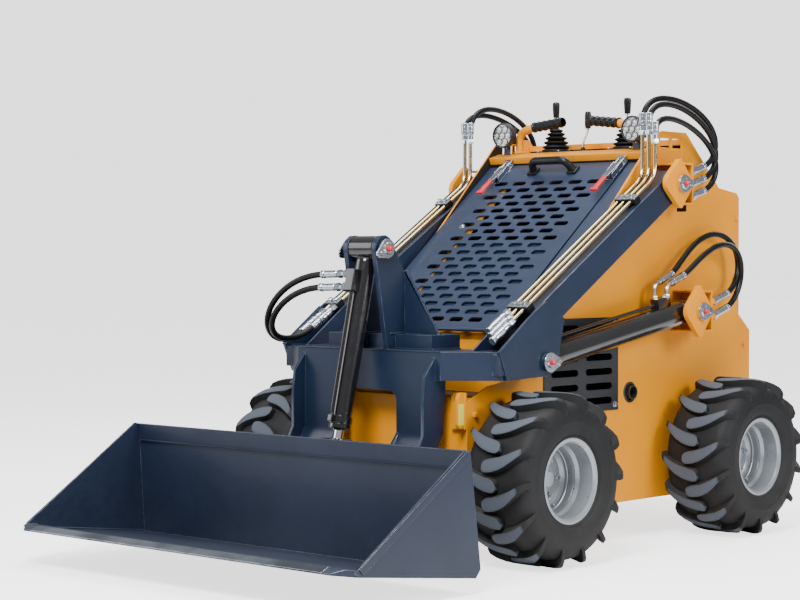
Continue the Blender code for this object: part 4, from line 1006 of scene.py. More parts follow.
@dataclass(frozen=True)
class Layout:
    """Points and widths that several sub-assemblies share, in side view from the front axle."""

    datum: Datum
    arm_pivot: Pair = (0.662, 1.0185)
    lift_rear: Pair = (0.762, 0.6515)
    lift_front: Pair = (0.060, 0.530)
    tilt_top: Pair = (-0.207, 0.831)
    tilt_rod: Pair = (-0.330, 0.300)
    bucket_pin: Pair = (-0.335, 0.130)
    half_body: float = 0.300
    arm_inside: float = 0.310
    arm_outside: float = 0.390
    beam_half: float = 0.040
    beam_slope: float = math.radians(31.8)
    deck: float = 1.126
    hood_foot: Pair = (0.054, 0.610)
    hood_slope: float = math.radians(38.7)
    hood_length: float = 0.764
    lift_x: float = 0.352
    hose_radius: float = 0.0085
    hose_gap: float = 0.0032

    @property
    def along(self) -> Pair:
        """The way forwards along an arm."""
        return -math.cos(self.beam_slope), -math.sin(self.beam_slope)

    @property
    def across(self) -> Pair:
        """The way up across an arm."""
        return -math.sin(self.beam_slope), math.cos(self.beam_slope)

    @property
    def hood_up(self) -> Pair:
        """The way up the hood's slope."""
        return math.cos(self.hood_slope), math.sin(self.hood_slope)

    @property
    def hood_out(self) -> Pair:
        """The way out of the hood's face."""
        return -math.sin(self.hood_slope), math.cos(self.hood_slope)

    def on_arm(self, x: float, forward: float, up: float) -> Vector:
        """A point by its distance along an arm and across it."""
        return self.datum.side(x, moved(self.arm_pivot, (self.along, forward), (self.across, up)))

    def on_hood(self, x: float, up: float, out: float) -> Vector:
        """A point by its distance up the hood from its foot, and out of its face."""
        return self.datum.side(x, moved(self.hood_foot, (self.hood_up, up), (self.hood_out, out)))

    def way(self, start: Pair, end: Pair) -> Pair:
        """The direction from one side-view point to another."""
        length = math.hypot(end[0] - start[0], end[1] - start[1])
        return (end[0] - start[0]) / length, (end[1] - start[1]) / length

    def line_corners(self, side: int, index: int) -> list[Vector]:
        """The corners of one hard line on an arm, from its rear union to its coupler."""
        x = side * (0.324 + 0.022 * index)
        height, rise = self.beam_half + 0.012, 0.072
        reach = (rise + self.across[0] * height) / -self.along[0]
        start = self.on_arm(x, reach, height)
        end = self.on_arm(x, (0.770 if side > 0 else 0.765) + 0.022 * index, height)
        top = start + Vector((0, 0, 0.128 - (0.026 if index == 2 else 0)))
        return [top, start, end]

    def line_path(self, side: int, index: int) -> list[Vector]:
        """The hard line through its corners, with its bend rounded."""
        return rounded(self.line_corners(side, index), 0.040, 8)

    def coupler(self, side: int, index: int) -> tuple[Vector, Vector]:
        """The far end of a line's coupler, and the way it points."""
        path = self.line_path(side, index)
        way = (path[-1] - path[-2]).normalized()
        return path[-1] + way * (0.085 if side > 0 else 0.060), way

    def upper_union(self, side: int, index: int) -> tuple[Vector, Vector]:
        """Both ends of a union behind an arm's pivot."""
        start = self.datum.at(side * 0.345, 0.762, 1.0465 - 0.036 * index)
        return start, start + Vector((0, 0.095, 0.026))

    def lower_union(self, side: int, index: int) -> tuple[Vector, Vector]:
        """Both ends of a union behind a lift cylinder's hanger."""
        start = self.datum.at(side * 0.355, 0.862, 0.6655 - 0.042 * index)
        return start, start + Vector((0, 0.105, 0.032))

    def elbow(self, side: int, index: int) -> tuple[Vector, Vector, Vector]:
        """The three corners of an elbow on a lift barrel."""
        way = self.way(self.lift_rear, self.lift_front)
        over = (way[1], -way[0])
        foot = moved(self.lift_rear, (way, 0.099 + 0.032 * index), (over, 0.057))
        place = self.datum.side(side * (self.lift_x + 0.010 * (1 - 2 * index)), foot)
        top = place + Vector((0, 0, 0.034 + 0.010 * index))
        return place, top, top + Vector((0, 0.072, 0.026))

    def tilt_port(self, index: int) -> tuple[Vector, Vector]:
        """Both ends of a fitting on the tilt barrel's port block."""
        way = self.way(self.tilt_top, self.tilt_rod)
        over = (way[1], -way[0])
        start = self.datum.side(-0.015,
                                moved(self.tilt_top, (way, 0.078 + 0.036 * index), (over, 0.040)))
        return start, start + Vector((-0.085, -0.004, -0.002))


def soft_node(node: str, body: str, slot: str, surface: Surface, width: float = 0.0015,
              least: float = 32.0) -> None:
    """Stands a softened, dressed copy in for a frame node."""
    Piece(node + "_skin").take_node(node, surface, width, least).on(body, slot, node)


def stud(piece: Piece, spots: Sequence[tuple[Vector, Vector]], size: float,
         surface: Surface = Surface.ZINC, domed: bool = False) -> None:
    """Adds bolt heads to a piece, at points with their facings."""
    piece.take_mesh(scattered(bolt(size, domed), spots, surface), surface)


def pin_head(piece: Piece, layout: Layout, side: int, pin: Pair, face: float,
             turn: float = 0.0) -> None:
    """Adds a pin's teardrop flange, its bolt and its red grease cap.

    Args:
        piece: The piece that they are added to.
        layout: The shared points.
        side: The side that they are seen from.
        pin: The pin's centre in side view.
        face: How far from the middle plane the flange's back lies.
        turn: The angle in degrees at which the flange's tail points.
    """
    tail = (math.cos(math.radians(turn)), math.sin(math.radians(turn)))
    small = moved(pin, (tail, 0.033))
    outline = arc(pin, 0.0265, turn + 65, turn + 295,
                  14) + arc(small, 0.012, turn - 65, turn + 65, 6)
    flange = prism(layout.datum.outline(outline), "X",
                   *sorted((side * face, side * (face + 0.005))), 0.0012)
    piece.take(flange, Surface.ZINC)
    out = Vector((side, 0, 0))
    centre = layout.datum.side(side * (face + 0.005), pin)
    boss = turned([(0, 0), (0.0165, 0), (0.0165, 0.002), (0.0145, 0.004), (0.0125, 0.004),
                   (0.0120, 0.0028), (0, 0.0028)], 28)
    piece.take(boss, Surface.ZINC, toward(out, centre))
    cap = turned([(0.0065, 0.002), (0.0075, 0.005), (0.0068, 0.0105), (0.004, 0.0125), (0, 0.0128)],
                 18)
    piece.take(cap, Surface.RED, toward(out, centre))
    stud(piece, [(layout.datum.side(side * (face + 0.005), small), out)], 0.011)


def ferrule(piece: Piece, start: Vector, way: Vector, reach: float) -> None:
    """Adds a crimped hose end with two grooves, from its foot along a hose's way."""
    profile = [(0, 0.004), (0.0096, 0.004), (0.0108, 0.006)]
    for low in (0.38 * reach, 0.72 * reach):
        profile += [(0.0112, low), (0.0108, low + 0.0008), (0.0108, low + 0.0018),
                    (0.0112, low + 0.0026)]
    profile += [(0.0112, reach - 0.0015), (0.0100, reach), (0, reach)]
    piece.spin(profile, 20, Surface.ZINC, way, start)


@dataclass
class Chassis:
    """The body: its panels, deck, covers, step, engine and exhaust."""

    layout: Layout
    vent_columns: int = 2
    vent_rows: int = 6
    vent_corner: Pair = (0.258, 0.405)
    vent_pitch: Pair = (0.156, 0.041)

    def build(self) -> None:
        """Builds every fixed piece of the body."""
        for node in ("body_tub", "control_deck", "rear_cover"):
            piece = Piece(node + "_skin").take_node(node, Surface.BODY, 0.002)
            # The body's faces inside the engine bay are painted dark as shade.
            piece.paint_bay_shade(self.layout, Surface.ENGINE_AND_BAY_SHADE).on("machine_body", "body_paint", node)
        soft_node("engine_block", "machine_body", "engine", Surface.ENGINE_AND_BAY_SHADE, 0.006)
        self.step()
        self.exhaust()
        for side in SIDES:
            self.panel(side)
            self.vent(side)
        self.front_lugs()
        self.engine_parts()

    def panel(self, side: int) -> None:
        """Builds a side panel with its window bar, crease, fasteners and weld lines."""
        d = self.layout.datum
        name = side_name(side)
        piece = Piece(f"side_panel_{name}_skin").take_node(f"side_panel_{name}", Surface.BODY,
                                                           0.0016)
        # The panel's faces inside the engine bay are painted dark as shade.
        piece.paint_bay_shade(self.layout, Surface.ENGINE_AND_BAY_SHADE)
        low, high = sorted((side * 0.2968, side * 0.2994))
        piece.take(prism(d.outline([(0.702, 1.092), (0.828, 1.092), (0.828, 1.128),
                                    (0.702, 1.128)]), "X", low, high, 0.0008),
                   Surface.BODY)
        out = Vector((side, 0, 0))
        face = side * self.layout.half_body
        spots = [(d.at(face, 1.168 - 0.062, z), out) for z in (0.925, 0.700)]
        spots += [(d.at(face, y, z), out)
                  for y, z in ((-0.12, 0.395), (-0.12, 0.16), (1.15, 0.54), (1.15, 0.155))]
        stud(piece, spots, 0.013, Surface.BODY)
        latch = turned([(0, 0), (0.015, 0), (0.015, 0.004), (0.0115, 0.006), (0.0115, 0.016),
                        (0.010, 0.018), (0, 0.018)], 24)
        piece.take(latch, Surface.GRIP, toward(out, d.at(face, 1.104, 0.735)))
        edge = [d.at(face - side * 0.0035, y, z)
                for y, z in ((0.0, 0.4815), (0.340, 0.816), (0.676, 1.152))]
        piece.take(bead(edge, 0.0022, 0.006), Surface.BODY)
        piece.on("machine_body", "body_paint", f"side_panel_{name}")

    def vent(self, side: int) -> None:
        """Builds the slotted cover low on a side, with its screws."""
        d = self.layout.datum
        low = self.layout.half_body + 0.0003
        name = side_name(side)
        centres = []
        for column in range(self.vent_columns):
            for row in range(self.vent_rows):
                y = self.vent_corner[0] + self.vent_pitch[0] * column - 0.336
                centres.append((y, self.vent_corner[1] + self.vent_pitch[1] * row - 0.5075))
        sheet = slotted(0.312 + 0.024, 0.239 + 0.024, centres, (0.120, 0.019), 0.003, Surface.VENT)
        piece = Piece(f"vent_cover_{name}_skin")
        place = basis(d.at(side * low, 0.336, 0.5075), Vector((0, side, 0)), Vector((0, 0, 1)))
        piece.take_mesh(sheet, Surface.VENT, place)
        for x, z in centres:
            rim = self.slot_lip(0.120, 0.019)
            piece.take(rim, Surface.VENT, place @ Matrix.Translation((x, z, 0.003)))
        corners = [(0.184, 0.392), (0.488, 0.392), (0.184, 0.623), (0.488, 0.623)]
        out = Vector((side, 0, 0))
        stud(piece, [(d.at(side * (low + 0.003), y, z), out) for y, z in corners], 0.012)
        piece.on("machine_body", "vent", f"vent_cover_{name}")

    @staticmethod
    def slot_lip(length: float, width: float) -> Shape:
        """A slot's pressed lip, as a thin rounded ring."""
        half = (length - width) / 2
        path = [Vector((x, y, 0)) for x, y in arc((half, 0), width / 2 + 0.0008, -90, 90, 6)]
        path += [Vector((x, y, 0)) for x, y in arc((-half, 0), width / 2 + 0.0008, 90, 270, 6)]
        path.append(path[0].copy())
        return tube(path, 0.0012, 5)

    def exhaust(self) -> None:
        """Builds the short exhaust with its heat shield ring."""
        d = self.layout.datum
        out = Vector((1, 0, 0))
        place = toward(out, d.at(self.layout.half_body, 0.563, 0.422))
        profile = [(0.0175, -0.060), (0.0175, 0.0135), (0.0182, 0.014), (0.0200, 0.0135),
                   (0.0200, -0.060)]
        pipe = Piece("exhaust_pipe_skin").take(turned(profile, 40, loop=True), Surface.EXHAUST,
                                               place)
        pipe.take(turned([(0, -0.060), (0.0176, -0.060), (0.0176, -0.055), (0, -0.055)], 24),
                  Surface.EXHAUST, place)
        shield = [(0.0235, 0.0002), (0.0300, 0.0002), (0.0300, 0.0018), (0.0275, 0.0030),
                  (0.0235, 0.0030)]
        pipe.take(turned(shield, 40, loop=True), Surface.VENT, place)
        pipe.on("machine_body", "exhaust", "exhaust_pipe")

    def step(self) -> None:
        """Builds the standing step with a raised pattern on its tread."""
        d = self.layout.datum
        piece = Piece("rear_step_skin").take_node("rear_step", Surface.BODY, 0.0016)
        stud_shape = turned([(0.0065, 0), (0.0055, 0.0022), (0.004, 0.0026), (0, 0.0026)], 10)
        spots = []
        for i in range(15):
            for j in range(6):
                x = -0.238 + 0.034 * i + (0.017 if j % 2 else 0)
                spots.append((d.at(x, 1.222 + 0.036 * j, 0.215), Vector((0, 0, 1))))
        spots = [spot for spot in spots if abs(spot[0].x) < 0.25]
        piece.take_mesh(scattered(stud_shape, spots, Surface.BODY), Surface.BODY)
        back = Vector((0, 1, 0))
        stud(piece, [(d.at(x, 1.185, z), back) for x in (-0.26, -0.09, 0.09, 0.26)
                     for z in (0.27, 0.53)], 0.016)
        piece.on("machine_body", "body_paint", "rear_step")

    def front_lugs(self) -> None:
        """Builds the two tie-down lugs at the front corners, each with a blank plate."""
        d = self.layout.datum
        for side in SIDES:
            outline = [(-0.152, 0.361), (-0.176, 0.361), (-0.184, 0.371), (-0.184, 0.440),
                       (-0.174, 0.455), (-0.152, 0.455)]
            piece = Piece(f"tie_lug_{side_name(side)}")
            low, high = sorted((side * 0.286, side * 0.298))
            piece.take(prism(d.outline(outline), "X", low, high, 0.002), Surface.BODY)
            front = [(0.252, 0.358), (0.300, 0.358), (0.300, 0.455), (0.262, 0.455), (0.252, 0.444)]
            plate = [(side * x, z) for x, z in front]
            piece.take(prism(plate, "Y", d.axle - 0.158, d.axle - 0.1502, 0.0015), Surface.BODY)
            eye = turned([(0.008, -0.001), (0.013, -0.001), (0.013, 0.001), (0.008, 0.001)], 20,
                         loop=True)
            piece.take(eye, Surface.STEEL,
                       toward(Vector((0, -1, 0)), d.at(side * 0.277, -0.1590, 0.436)))
            low, high = sorted((side * 0.2976, side * 0.2988))
            label = [(-0.160, 0.370), (-0.181, 0.370), (-0.181, 0.426), (-0.160, 0.426)]
            blank = prism(d.outline(label), "X", low, high, 0.0003)
            piece.take(blank, Surface.DECAL)
            piece.on("machine_body", "body_paint")

    def engine_parts(self) -> None:
        """Builds what shows of the engine through the grille: fins, a cover and a filter."""
        d = self.layout.datum
        piece = Piece("engine_parts")
        for i in range(9):
            y = 0.500 + 0.014 * i
            piece.take(block((-0.13, d.axle + y, 0.40), (0.13, d.axle + y + 0.004, 0.66), 0.0012),
                       Surface.ENGINE_AND_BAY_SHADE)
        drum = turned([(0, 0), (0.055, 0), (0.060, 0.006), (0.060, 0.150), (0.052, 0.162),
                       (0, 0.164)], 28)
        piece.take(drum, Surface.ENGINE_AND_BAY_SHADE, toward(Vector((1, 0, 0)), d.at(-0.08, 0.52, 0.76)))
        piece.take(block((-0.12, d.axle + 0.49, 0.36), (0.12, d.axle + 0.637, 0.41), 0.004),
                   Surface.ENGINE_AND_BAY_SHADE)
        piece.on("machine_body", "engine")


@dataclass
class Hood:
    """The sloping perforated hood panel with its handle and toggle latches."""

    layout: Layout
    half_width: float = 0.230
    thickness: float = 0.004
    slot_size: Pair = (0.049, 0.0195)
    pitch: Pair = (0.0700, 0.0330)
    columns: int = 6
    first_row: float = 0.094
    rows: int = 20
    shift: float = -0.014

    def build(self) -> None:
        """Builds the panel, its handle and its latches."""
        self.panel()
        self.handle()
        for side in SIDES:
            self.latch(side)
            self.surround(side)

    def surround(self, side: int) -> None:
        """Builds the fixed strip between the panel and a side of the body."""
        lay = self.layout
        inner, outer = self.half_width + 0.0025, lay.half_body - 0.006
        place = basis(lay.on_hood(0, 0, 0), Vector((1, 0, 0)), Vector((0, *lay.hood_up)))
        low, high = sorted((side * inner, side * outer))
        piece = Piece(f"hood_surround_{side_name(side)}")
        piece.take(block((low, -0.004, -0.0060), (high, lay.hood_length - 0.001, -0.0030), 0.0012),
                   Surface.GRILLE, place)
        low, high = sorted((side * (inner + 0.0005), side * (inner + 0.0035)))
        piece.take(block((low, 0.0, -0.038), (high, lay.hood_length - 0.001, -0.0040), 0.0010),
                   Surface.GRILLE, place)
        piece.on("machine_body", "grille_paint")

    def centres(self) -> list[Pair]:
        """The slots' centres about the panel's middle, each second row shifted by half a pitch."""
        found = []
        length = self.layout.hood_length
        for row in range(self.rows):
            y = length / 2 - self.first_row - row * self.pitch[1]
            shifted = row % 2
            count = self.columns - shifted
            for column in range(count):
                x = (column - (count - 1) / 2) * self.pitch[0] + self.shift
                found.append((x, y))
        return found

    def panel(self) -> None:
        """Builds the slotted sheet with its flanges, hinge and screws."""
        lay = self.layout
        length = lay.hood_length
        place = basis(lay.on_hood(0, length / 2, -self.thickness), Vector((1, 0, 0)),
                      Vector((0, *lay.hood_up)))
        sheet = slotted(self.half_width * 2, length, self.centres(), self.slot_size, self.thickness,
                        Surface.GRILLE)
        piece = Piece("hood_grille_skin").take_mesh(sheet, Surface.GRILLE, place)
        for side in SIDES:
            low = (side * self.half_width - (0.004 if side > 0 else 0), -length / 2 + 0.001, -0.022)
            high = (low[0] + 0.004, length / 2 - 0.001, 0.0002)
            piece.take(block(low, high, 0.0012), Surface.GRILLE, place)
        baffle = block((-0.175, -length / 2 + 0.055, -0.0062),
                       (0.220, -length / 2 + 0.400, -0.0048), 0.0005)
        piece.take(baffle, Surface.GRILLE, place)
        hinge = tube([Vector((-0.225, 0, 0)), Vector((0.225, 0, 0))], 0.0052, 14)
        piece.take(hinge, Surface.GRILLE, Matrix.Translation(lay.on_hood(0, 0.004, -0.004)))
        out = Vector((0, *lay.hood_out))
        spots = [(lay.on_hood(x, up, 0), out) for x in (-0.205, 0.205)
                 for up in (0.030, length - 0.030)]
        spots.append((lay.on_hood(-0.205, length / 2 + 0.080, 0), out))
        stud(piece, spots, 0.013, domed=True)
        piece.on("hood_panel", "grille_paint", "hood_grille")

    def handle(self) -> None:
        """Builds the bow handle on its two feet."""
        lay = self.layout
        up = lay.hood_length - 0.040
        corners = [lay.on_hood(-0.022 + x, up, h)
                   for x, h in ((-0.075, 0.0035), (-0.062, 0.042), (0.062, 0.042), (0.075, 0.0035))]
        piece = Piece("grille_handle_skin").take(tube(rounded(corners, 0.026, 8), 0.0118, 20),
                                                 Surface.GRIP)
        for end in (corners[0], corners[-1]):
            foot = block((-0.0165, -0.0165, -0.0032), (0.0165, 0.0165, 0.0050), 0.003)
            piece.take(foot, Surface.GRIP, basis(end, Vector((1, 0, 0)), Vector((0, *lay.hood_up))))
        piece.on("hood_panel", "handle", "grille_handle")

    def latch(self, side: int) -> None:
        """Builds a toggle latch with its red lever, on the hood's upper corner."""
        lay = self.layout
        x = side * 0.214
        base = lay.hood_length + 0.008
        piece = Piece(f"hood_latch_{side_name(side)}")
        place = basis(lay.on_hood(x, base, 0.0004), Vector((1, 0, 0)), Vector((0, *lay.hood_up)))
        piece.take(block((-0.0155, -0.100, 0), (0.0155, -0.005, 0.0035), 0.001), Surface.ZINC,
                   place)
        for s in SIDES:
            low = (s * 0.0135 - 0.0015, -0.094, 0.003)
            piece.take(block(low, (low[0] + 0.003, -0.034, 0.019), 0.0008), Surface.ZINC, place)
        lever = [(-0.045, 0.011), (-0.040, 0.018), (-0.112, 0.024), (-0.170, 0.0265),
                 (-0.172, 0.0205), (-0.112, 0.0165)]
        piece.take(prism(lever[:3] + [lever[5]], "X", -0.0105, 0.0105, 0.0012), Surface.ZINC, place)
        piece.take(prism(lever[2:], "X", -0.0085, 0.0085, 0.0025), Surface.RED, place)
        piece.take(block((-0.0120, -0.178, 0.019), (0.0120, -0.166, 0.027), 0.0020), Surface.RED,
                   place)
        for s in SIDES:
            rod = [Vector((s * 0.009, -0.060, 0.016)), Vector((s * 0.009, -0.004, 0.012))]
            piece.take(tube(rod, 0.0030, 10), Surface.ZINC, place)
        piece.take(block((-0.014, -0.012, 0.004), (0.014, 0.0, 0.018), 0.0016), Surface.ZINC, place)
        piece.take(tube([Vector((-0.0175, -0.060, 0.015)), Vector((0.0175, -0.060, 0.015))], 0.004,
                        12), Surface.ZINC, place)
        piece.on("hood_panel", "plated_line")


@dataclass
class Controls:
    """Joysticks, the middle lever, hand bars and work lamps on the deck."""

    layout: Layout
    led_count: int = 6
    lamp_radius: float = 0.0385

    def build(self) -> None:
        """Builds the controls on both sides."""
        for side in SIDES:
            self.joystick(side)
            self.hand_bar(side)
            self.lamp(side)
        self.lever()

    def joystick(self, side: int) -> None:
        """Builds a joystick: base frame, bellows boot, rod and handle."""
        d = self.layout.datum
        base = d.at(side * 0.135, 0.775, self.layout.deck + 0.0003)
        piece = Piece(f"joystick_{side_name(side)}_skin")
        place = Matrix.Translation(base)
        piece.take(block((-0.046, -0.046, 0), (0.046, 0.046, 0.006), 0.003), Surface.BOOT, place)
        profile = [(0, 0.003), (0.0435, 0.003), (0.0445, 0.008), (0.0420, 0.012)]
        folds = ((0.0410, 0.0140), (0.0372, 0.0275), (0.0325, 0.0410), (0.0270, 0.0535),
                 (0.0205, 0.0640))
        for radius, height in folds:
            profile += [(radius - 0.0075, height), (radius - 0.001, height + 0.0028),
                        (radius + 0.0012, height + 0.0060), (radius, height + 0.0085),
                        (radius - 0.0085, height + 0.0112)]
        profile += [(0.0085, 0.078), (0.0080, 0.088), (0.0062, 0.090), (0, 0.090)]
        piece.take(turned(profile, 40), Surface.BOOT, place)
        piece.take(turned([(0, 0.08), (0.0052, 0.08), (0.0052, 0.122), (0, 0.122)], 18),
                   Surface.CHROME, place)
        knob = [(0, 0.110), (0.0082, 0.110), (0.0092, 0.113), (0.0100, 0.124), (0.0110, 0.142),
                (0.0113, 0.150), (0.0100, 0.1555), (0.0060, 0.1578), (0, 0.158)]
        piece.take(turned(knob, 28), Surface.GRIP, place)
        stud(piece, [(base + Vector((x, y, 0.006)), Vector((0, 0, 1))) for x in (-0.040, 0.040)
                     for y in (-0.040, 0.040)],
             0.0065, domed=True)
        piece.on("machine_body", "boot", f"joystick_{side_name(side)}")

    def hand_bar(self, side: int) -> None:
        """Builds a hand bar: a painted post and a ridged black grip."""
        d = self.layout.datum
        corners = [d.at(side * x, y, z) for x, y, z in
                   ((0.222, 0.705, 1.127), (0.220, 0.703, 1.188), (0.170, 0.700, 1.203),
                    (0.050, 0.700, 1.216))]
        piece = Piece(f"hand_bar_{side_name(side)}_skin")
        bar = corners[:3] + [corners[2].lerp(corners[3], 0.84)]
        piece.take(tube(rounded(bar, 0.034, 8), 0.0125, 24), Surface.BODY)
        foot = turned([(0, 0), (0.020, 0), (0.020, 0.003), (0.0135, 0.0065), (0, 0.0065)], 28)
        piece.take(foot, Surface.BODY, Matrix.Translation(corners[0] + Vector((0, 0, 0.0008))))
        start = corners[2].lerp(corners[3], 0.08)
        end = corners[3] + Vector((-side * 0.002, 0, 0))
        path = [start.lerp(end, i / 60) for i in range(61)]

        def ridged(share: float) -> float:
            """The grip's radius: a collar, then finger grooves."""
            if share < 0.035:
                return 0.0165
            return 0.0150 + 0.0012 * math.cos(share * 2 * math.pi * 5.5)

        piece.take(tube(path, ridged, 24, inner=0.018), Surface.GRIP)
        piece.on("machine_body", "handle", f"hand_bar_{side_name(side)}")

    def lever(self) -> None:
        """Builds the bent wire lever in the middle, with its gaiter and grip."""
        base = self.layout.datum.at(0.0, 0.735, self.layout.deck + 0.0003)
        steps = ((0, 0, 0), (0, 0, 0.030), (0.018, 0, 0.060), (0.018, 0, 0.105))
        corners = [base + Vector(step) for step in steps]
        piece = Piece("throttle_lever_skin").take(tube(rounded(corners, 0.014, 6), 0.0034, 14),
                                                  Surface.CHROME)
        grip = [corners[3] + Vector((0, 0, -0.036 + 0.051 * i / 24)) for i in range(25)]

        def swell(t: float) -> float:
            """The grip's radius along its length."""
            return 0.0100 - 0.0022 * (2 * t - 1) ** 4 + 0.0003 * math.cos(t * 50)

        piece.take(tube(grip, swell, 20), Surface.GRIP)
        plate = Matrix.Translation(base)
        piece.take(block((-0.016, -0.030, 0), (0.016, 0.030, 0.003), 0.001), Surface.GRIP, plate)
        piece.take(turned([(0, 0.003), (0.009, 0.003), (0.007, 0.010), (0.0036, 0.014), (0, 0.014)],
                          20), Surface.BOOT, plate)
        piece.on("machine_body", "handle", "throttle_lever")

    def lamp(self, side: int) -> None:
        """Builds a round LED lamp on its bracket."""
        d = self.layout.datum
        x = side * 0.244
        piece = Piece(f"work_lamp_{side_name(side)}_skin")
        place = toward(Vector((0, -1, 0)), d.at(x, 0.664, 1.181))
        r = self.lamp_radius
        housing = [(0, -0.012), (r * 0.55, -0.012), (r * 0.80, -0.006), (r, 0.002), (r, 0.0165),
                   (r - 0.0015, 0.0195), (r - 0.0045, 0.0195), (r - 0.0055, 0.0160), (0, 0.0160)]
        piece.take(turned(housing, 48), Surface.LAMP, place)
        piece.take(turned([(0, 0.0161), (r - 0.006, 0.0161), (r - 0.006, 0.0166), (0, 0.0166)], 40),
                   Surface.MIRROR, place)
        cup = [(0.0100, 0.0167), (0.0106, 0.0190), (0.0100, 0.0192), (0.0085, 0.0175), (0, 0.0172)]
        lens = [(0.0046, 0.0172), (0.0038, 0.0188), (0.0018, 0.0194), (0, 0.0195)]
        for shape, surface in ((cup, Surface.MIRROR), (lens, Surface.LENS)):
            piece.take(turned(shape, 16), surface, place)
            outer = turned(shape, 16)
            outer.transform(Matrix.Translation((0.0218, 0, 0)))
            piece.take_mesh(ring(outer, self.led_count, surface), surface, place)
        fin = block((-0.0012, -0.026, -0.020), (0.0012, 0.026, -0.006), 0.0005)
        for i in range(9):
            copy = fin.copy()
            piece.take(copy, Surface.LAMP, place @ Matrix.Translation(((i - 4) * 0.0062, 0, 0)))
        fin.free()
        foot = block((x - 0.012, d.axle + 0.669, 1.1225), (x + 0.012, d.axle + 0.675, 1.172),
                     0.0012)
        piece.take(foot, Surface.LAMP)
        stud(piece, [(d.at(x, 0.669, 1.150), Vector((0, -1, 0)))], 0.011)
        piece.on("machine_body", "lamp", f"work_lamp_{side_name(side)}")


@dataclass
class Brackets:
    """The hangers outside the loader pins, with their hose unions."""

    layout: Layout

    def build(self) -> None:
        """Builds the four hangers."""
        lay = self.layout
        for side in SIDES:
            count = 3 if side > 0 else 2
            self.hanger(side, "upper_bracket", lay.arm_pivot, count, lay.upper_union)
            self.hanger(side, "lower_bracket", lay.lift_rear, 2, lay.lower_union)

    def hanger(self, side: int, stem: str, pin: Pair, count: int,
               union: Callable[..., tuple[Vector, Vector]]) -> None:
        """Builds one hanger.

        Args:
            side: Its side.
            stem: The frame node's name without its side.
            pin: The pin that it carries.
            count: How many unions stand behind it.
            union: Gives both ends of a union.
        """
        lay = self.layout
        name = f"{stem}_{side_name(side)}"
        piece = Piece(name + "_skin").take_node(name, Surface.BODY, 0.0018, 34)
        pin_head(piece, lay, side, pin, lay.arm_outside + 0.0265, 0)
        top, low = union(side, 0)[0], union(side, count - 1)[0]
        plate = block((top.x - 0.016, top.y - 0.010, low.z - 0.034),
                      (top.x + 0.016, top.y - 0.005, top.z + 0.034), 0.0015)
        piece.take(plate, Surface.GRIP)
        back = Vector((0, 1, 0))
        stud(piece, [(Vector((top.x, top.y - 0.005, z)), back)
                     for z in (low.z - 0.025, top.z + 0.025)], 0.013)
        for i in range(count):
            start, end = union(side, i)
            way = (end - start).normalized()
            piece.nut(0.026, -0.002, 0.012, way, start)
            piece.rod(0.0085, 0.01, 0.055, 18, way, start)
            piece.nut(0.0225, 0.040, 0.060, way, start)
            ferrule(piece, start + way * 0.054, way, (end - start).length - 0.054)
        piece.on("machine_body", "body_paint", name)


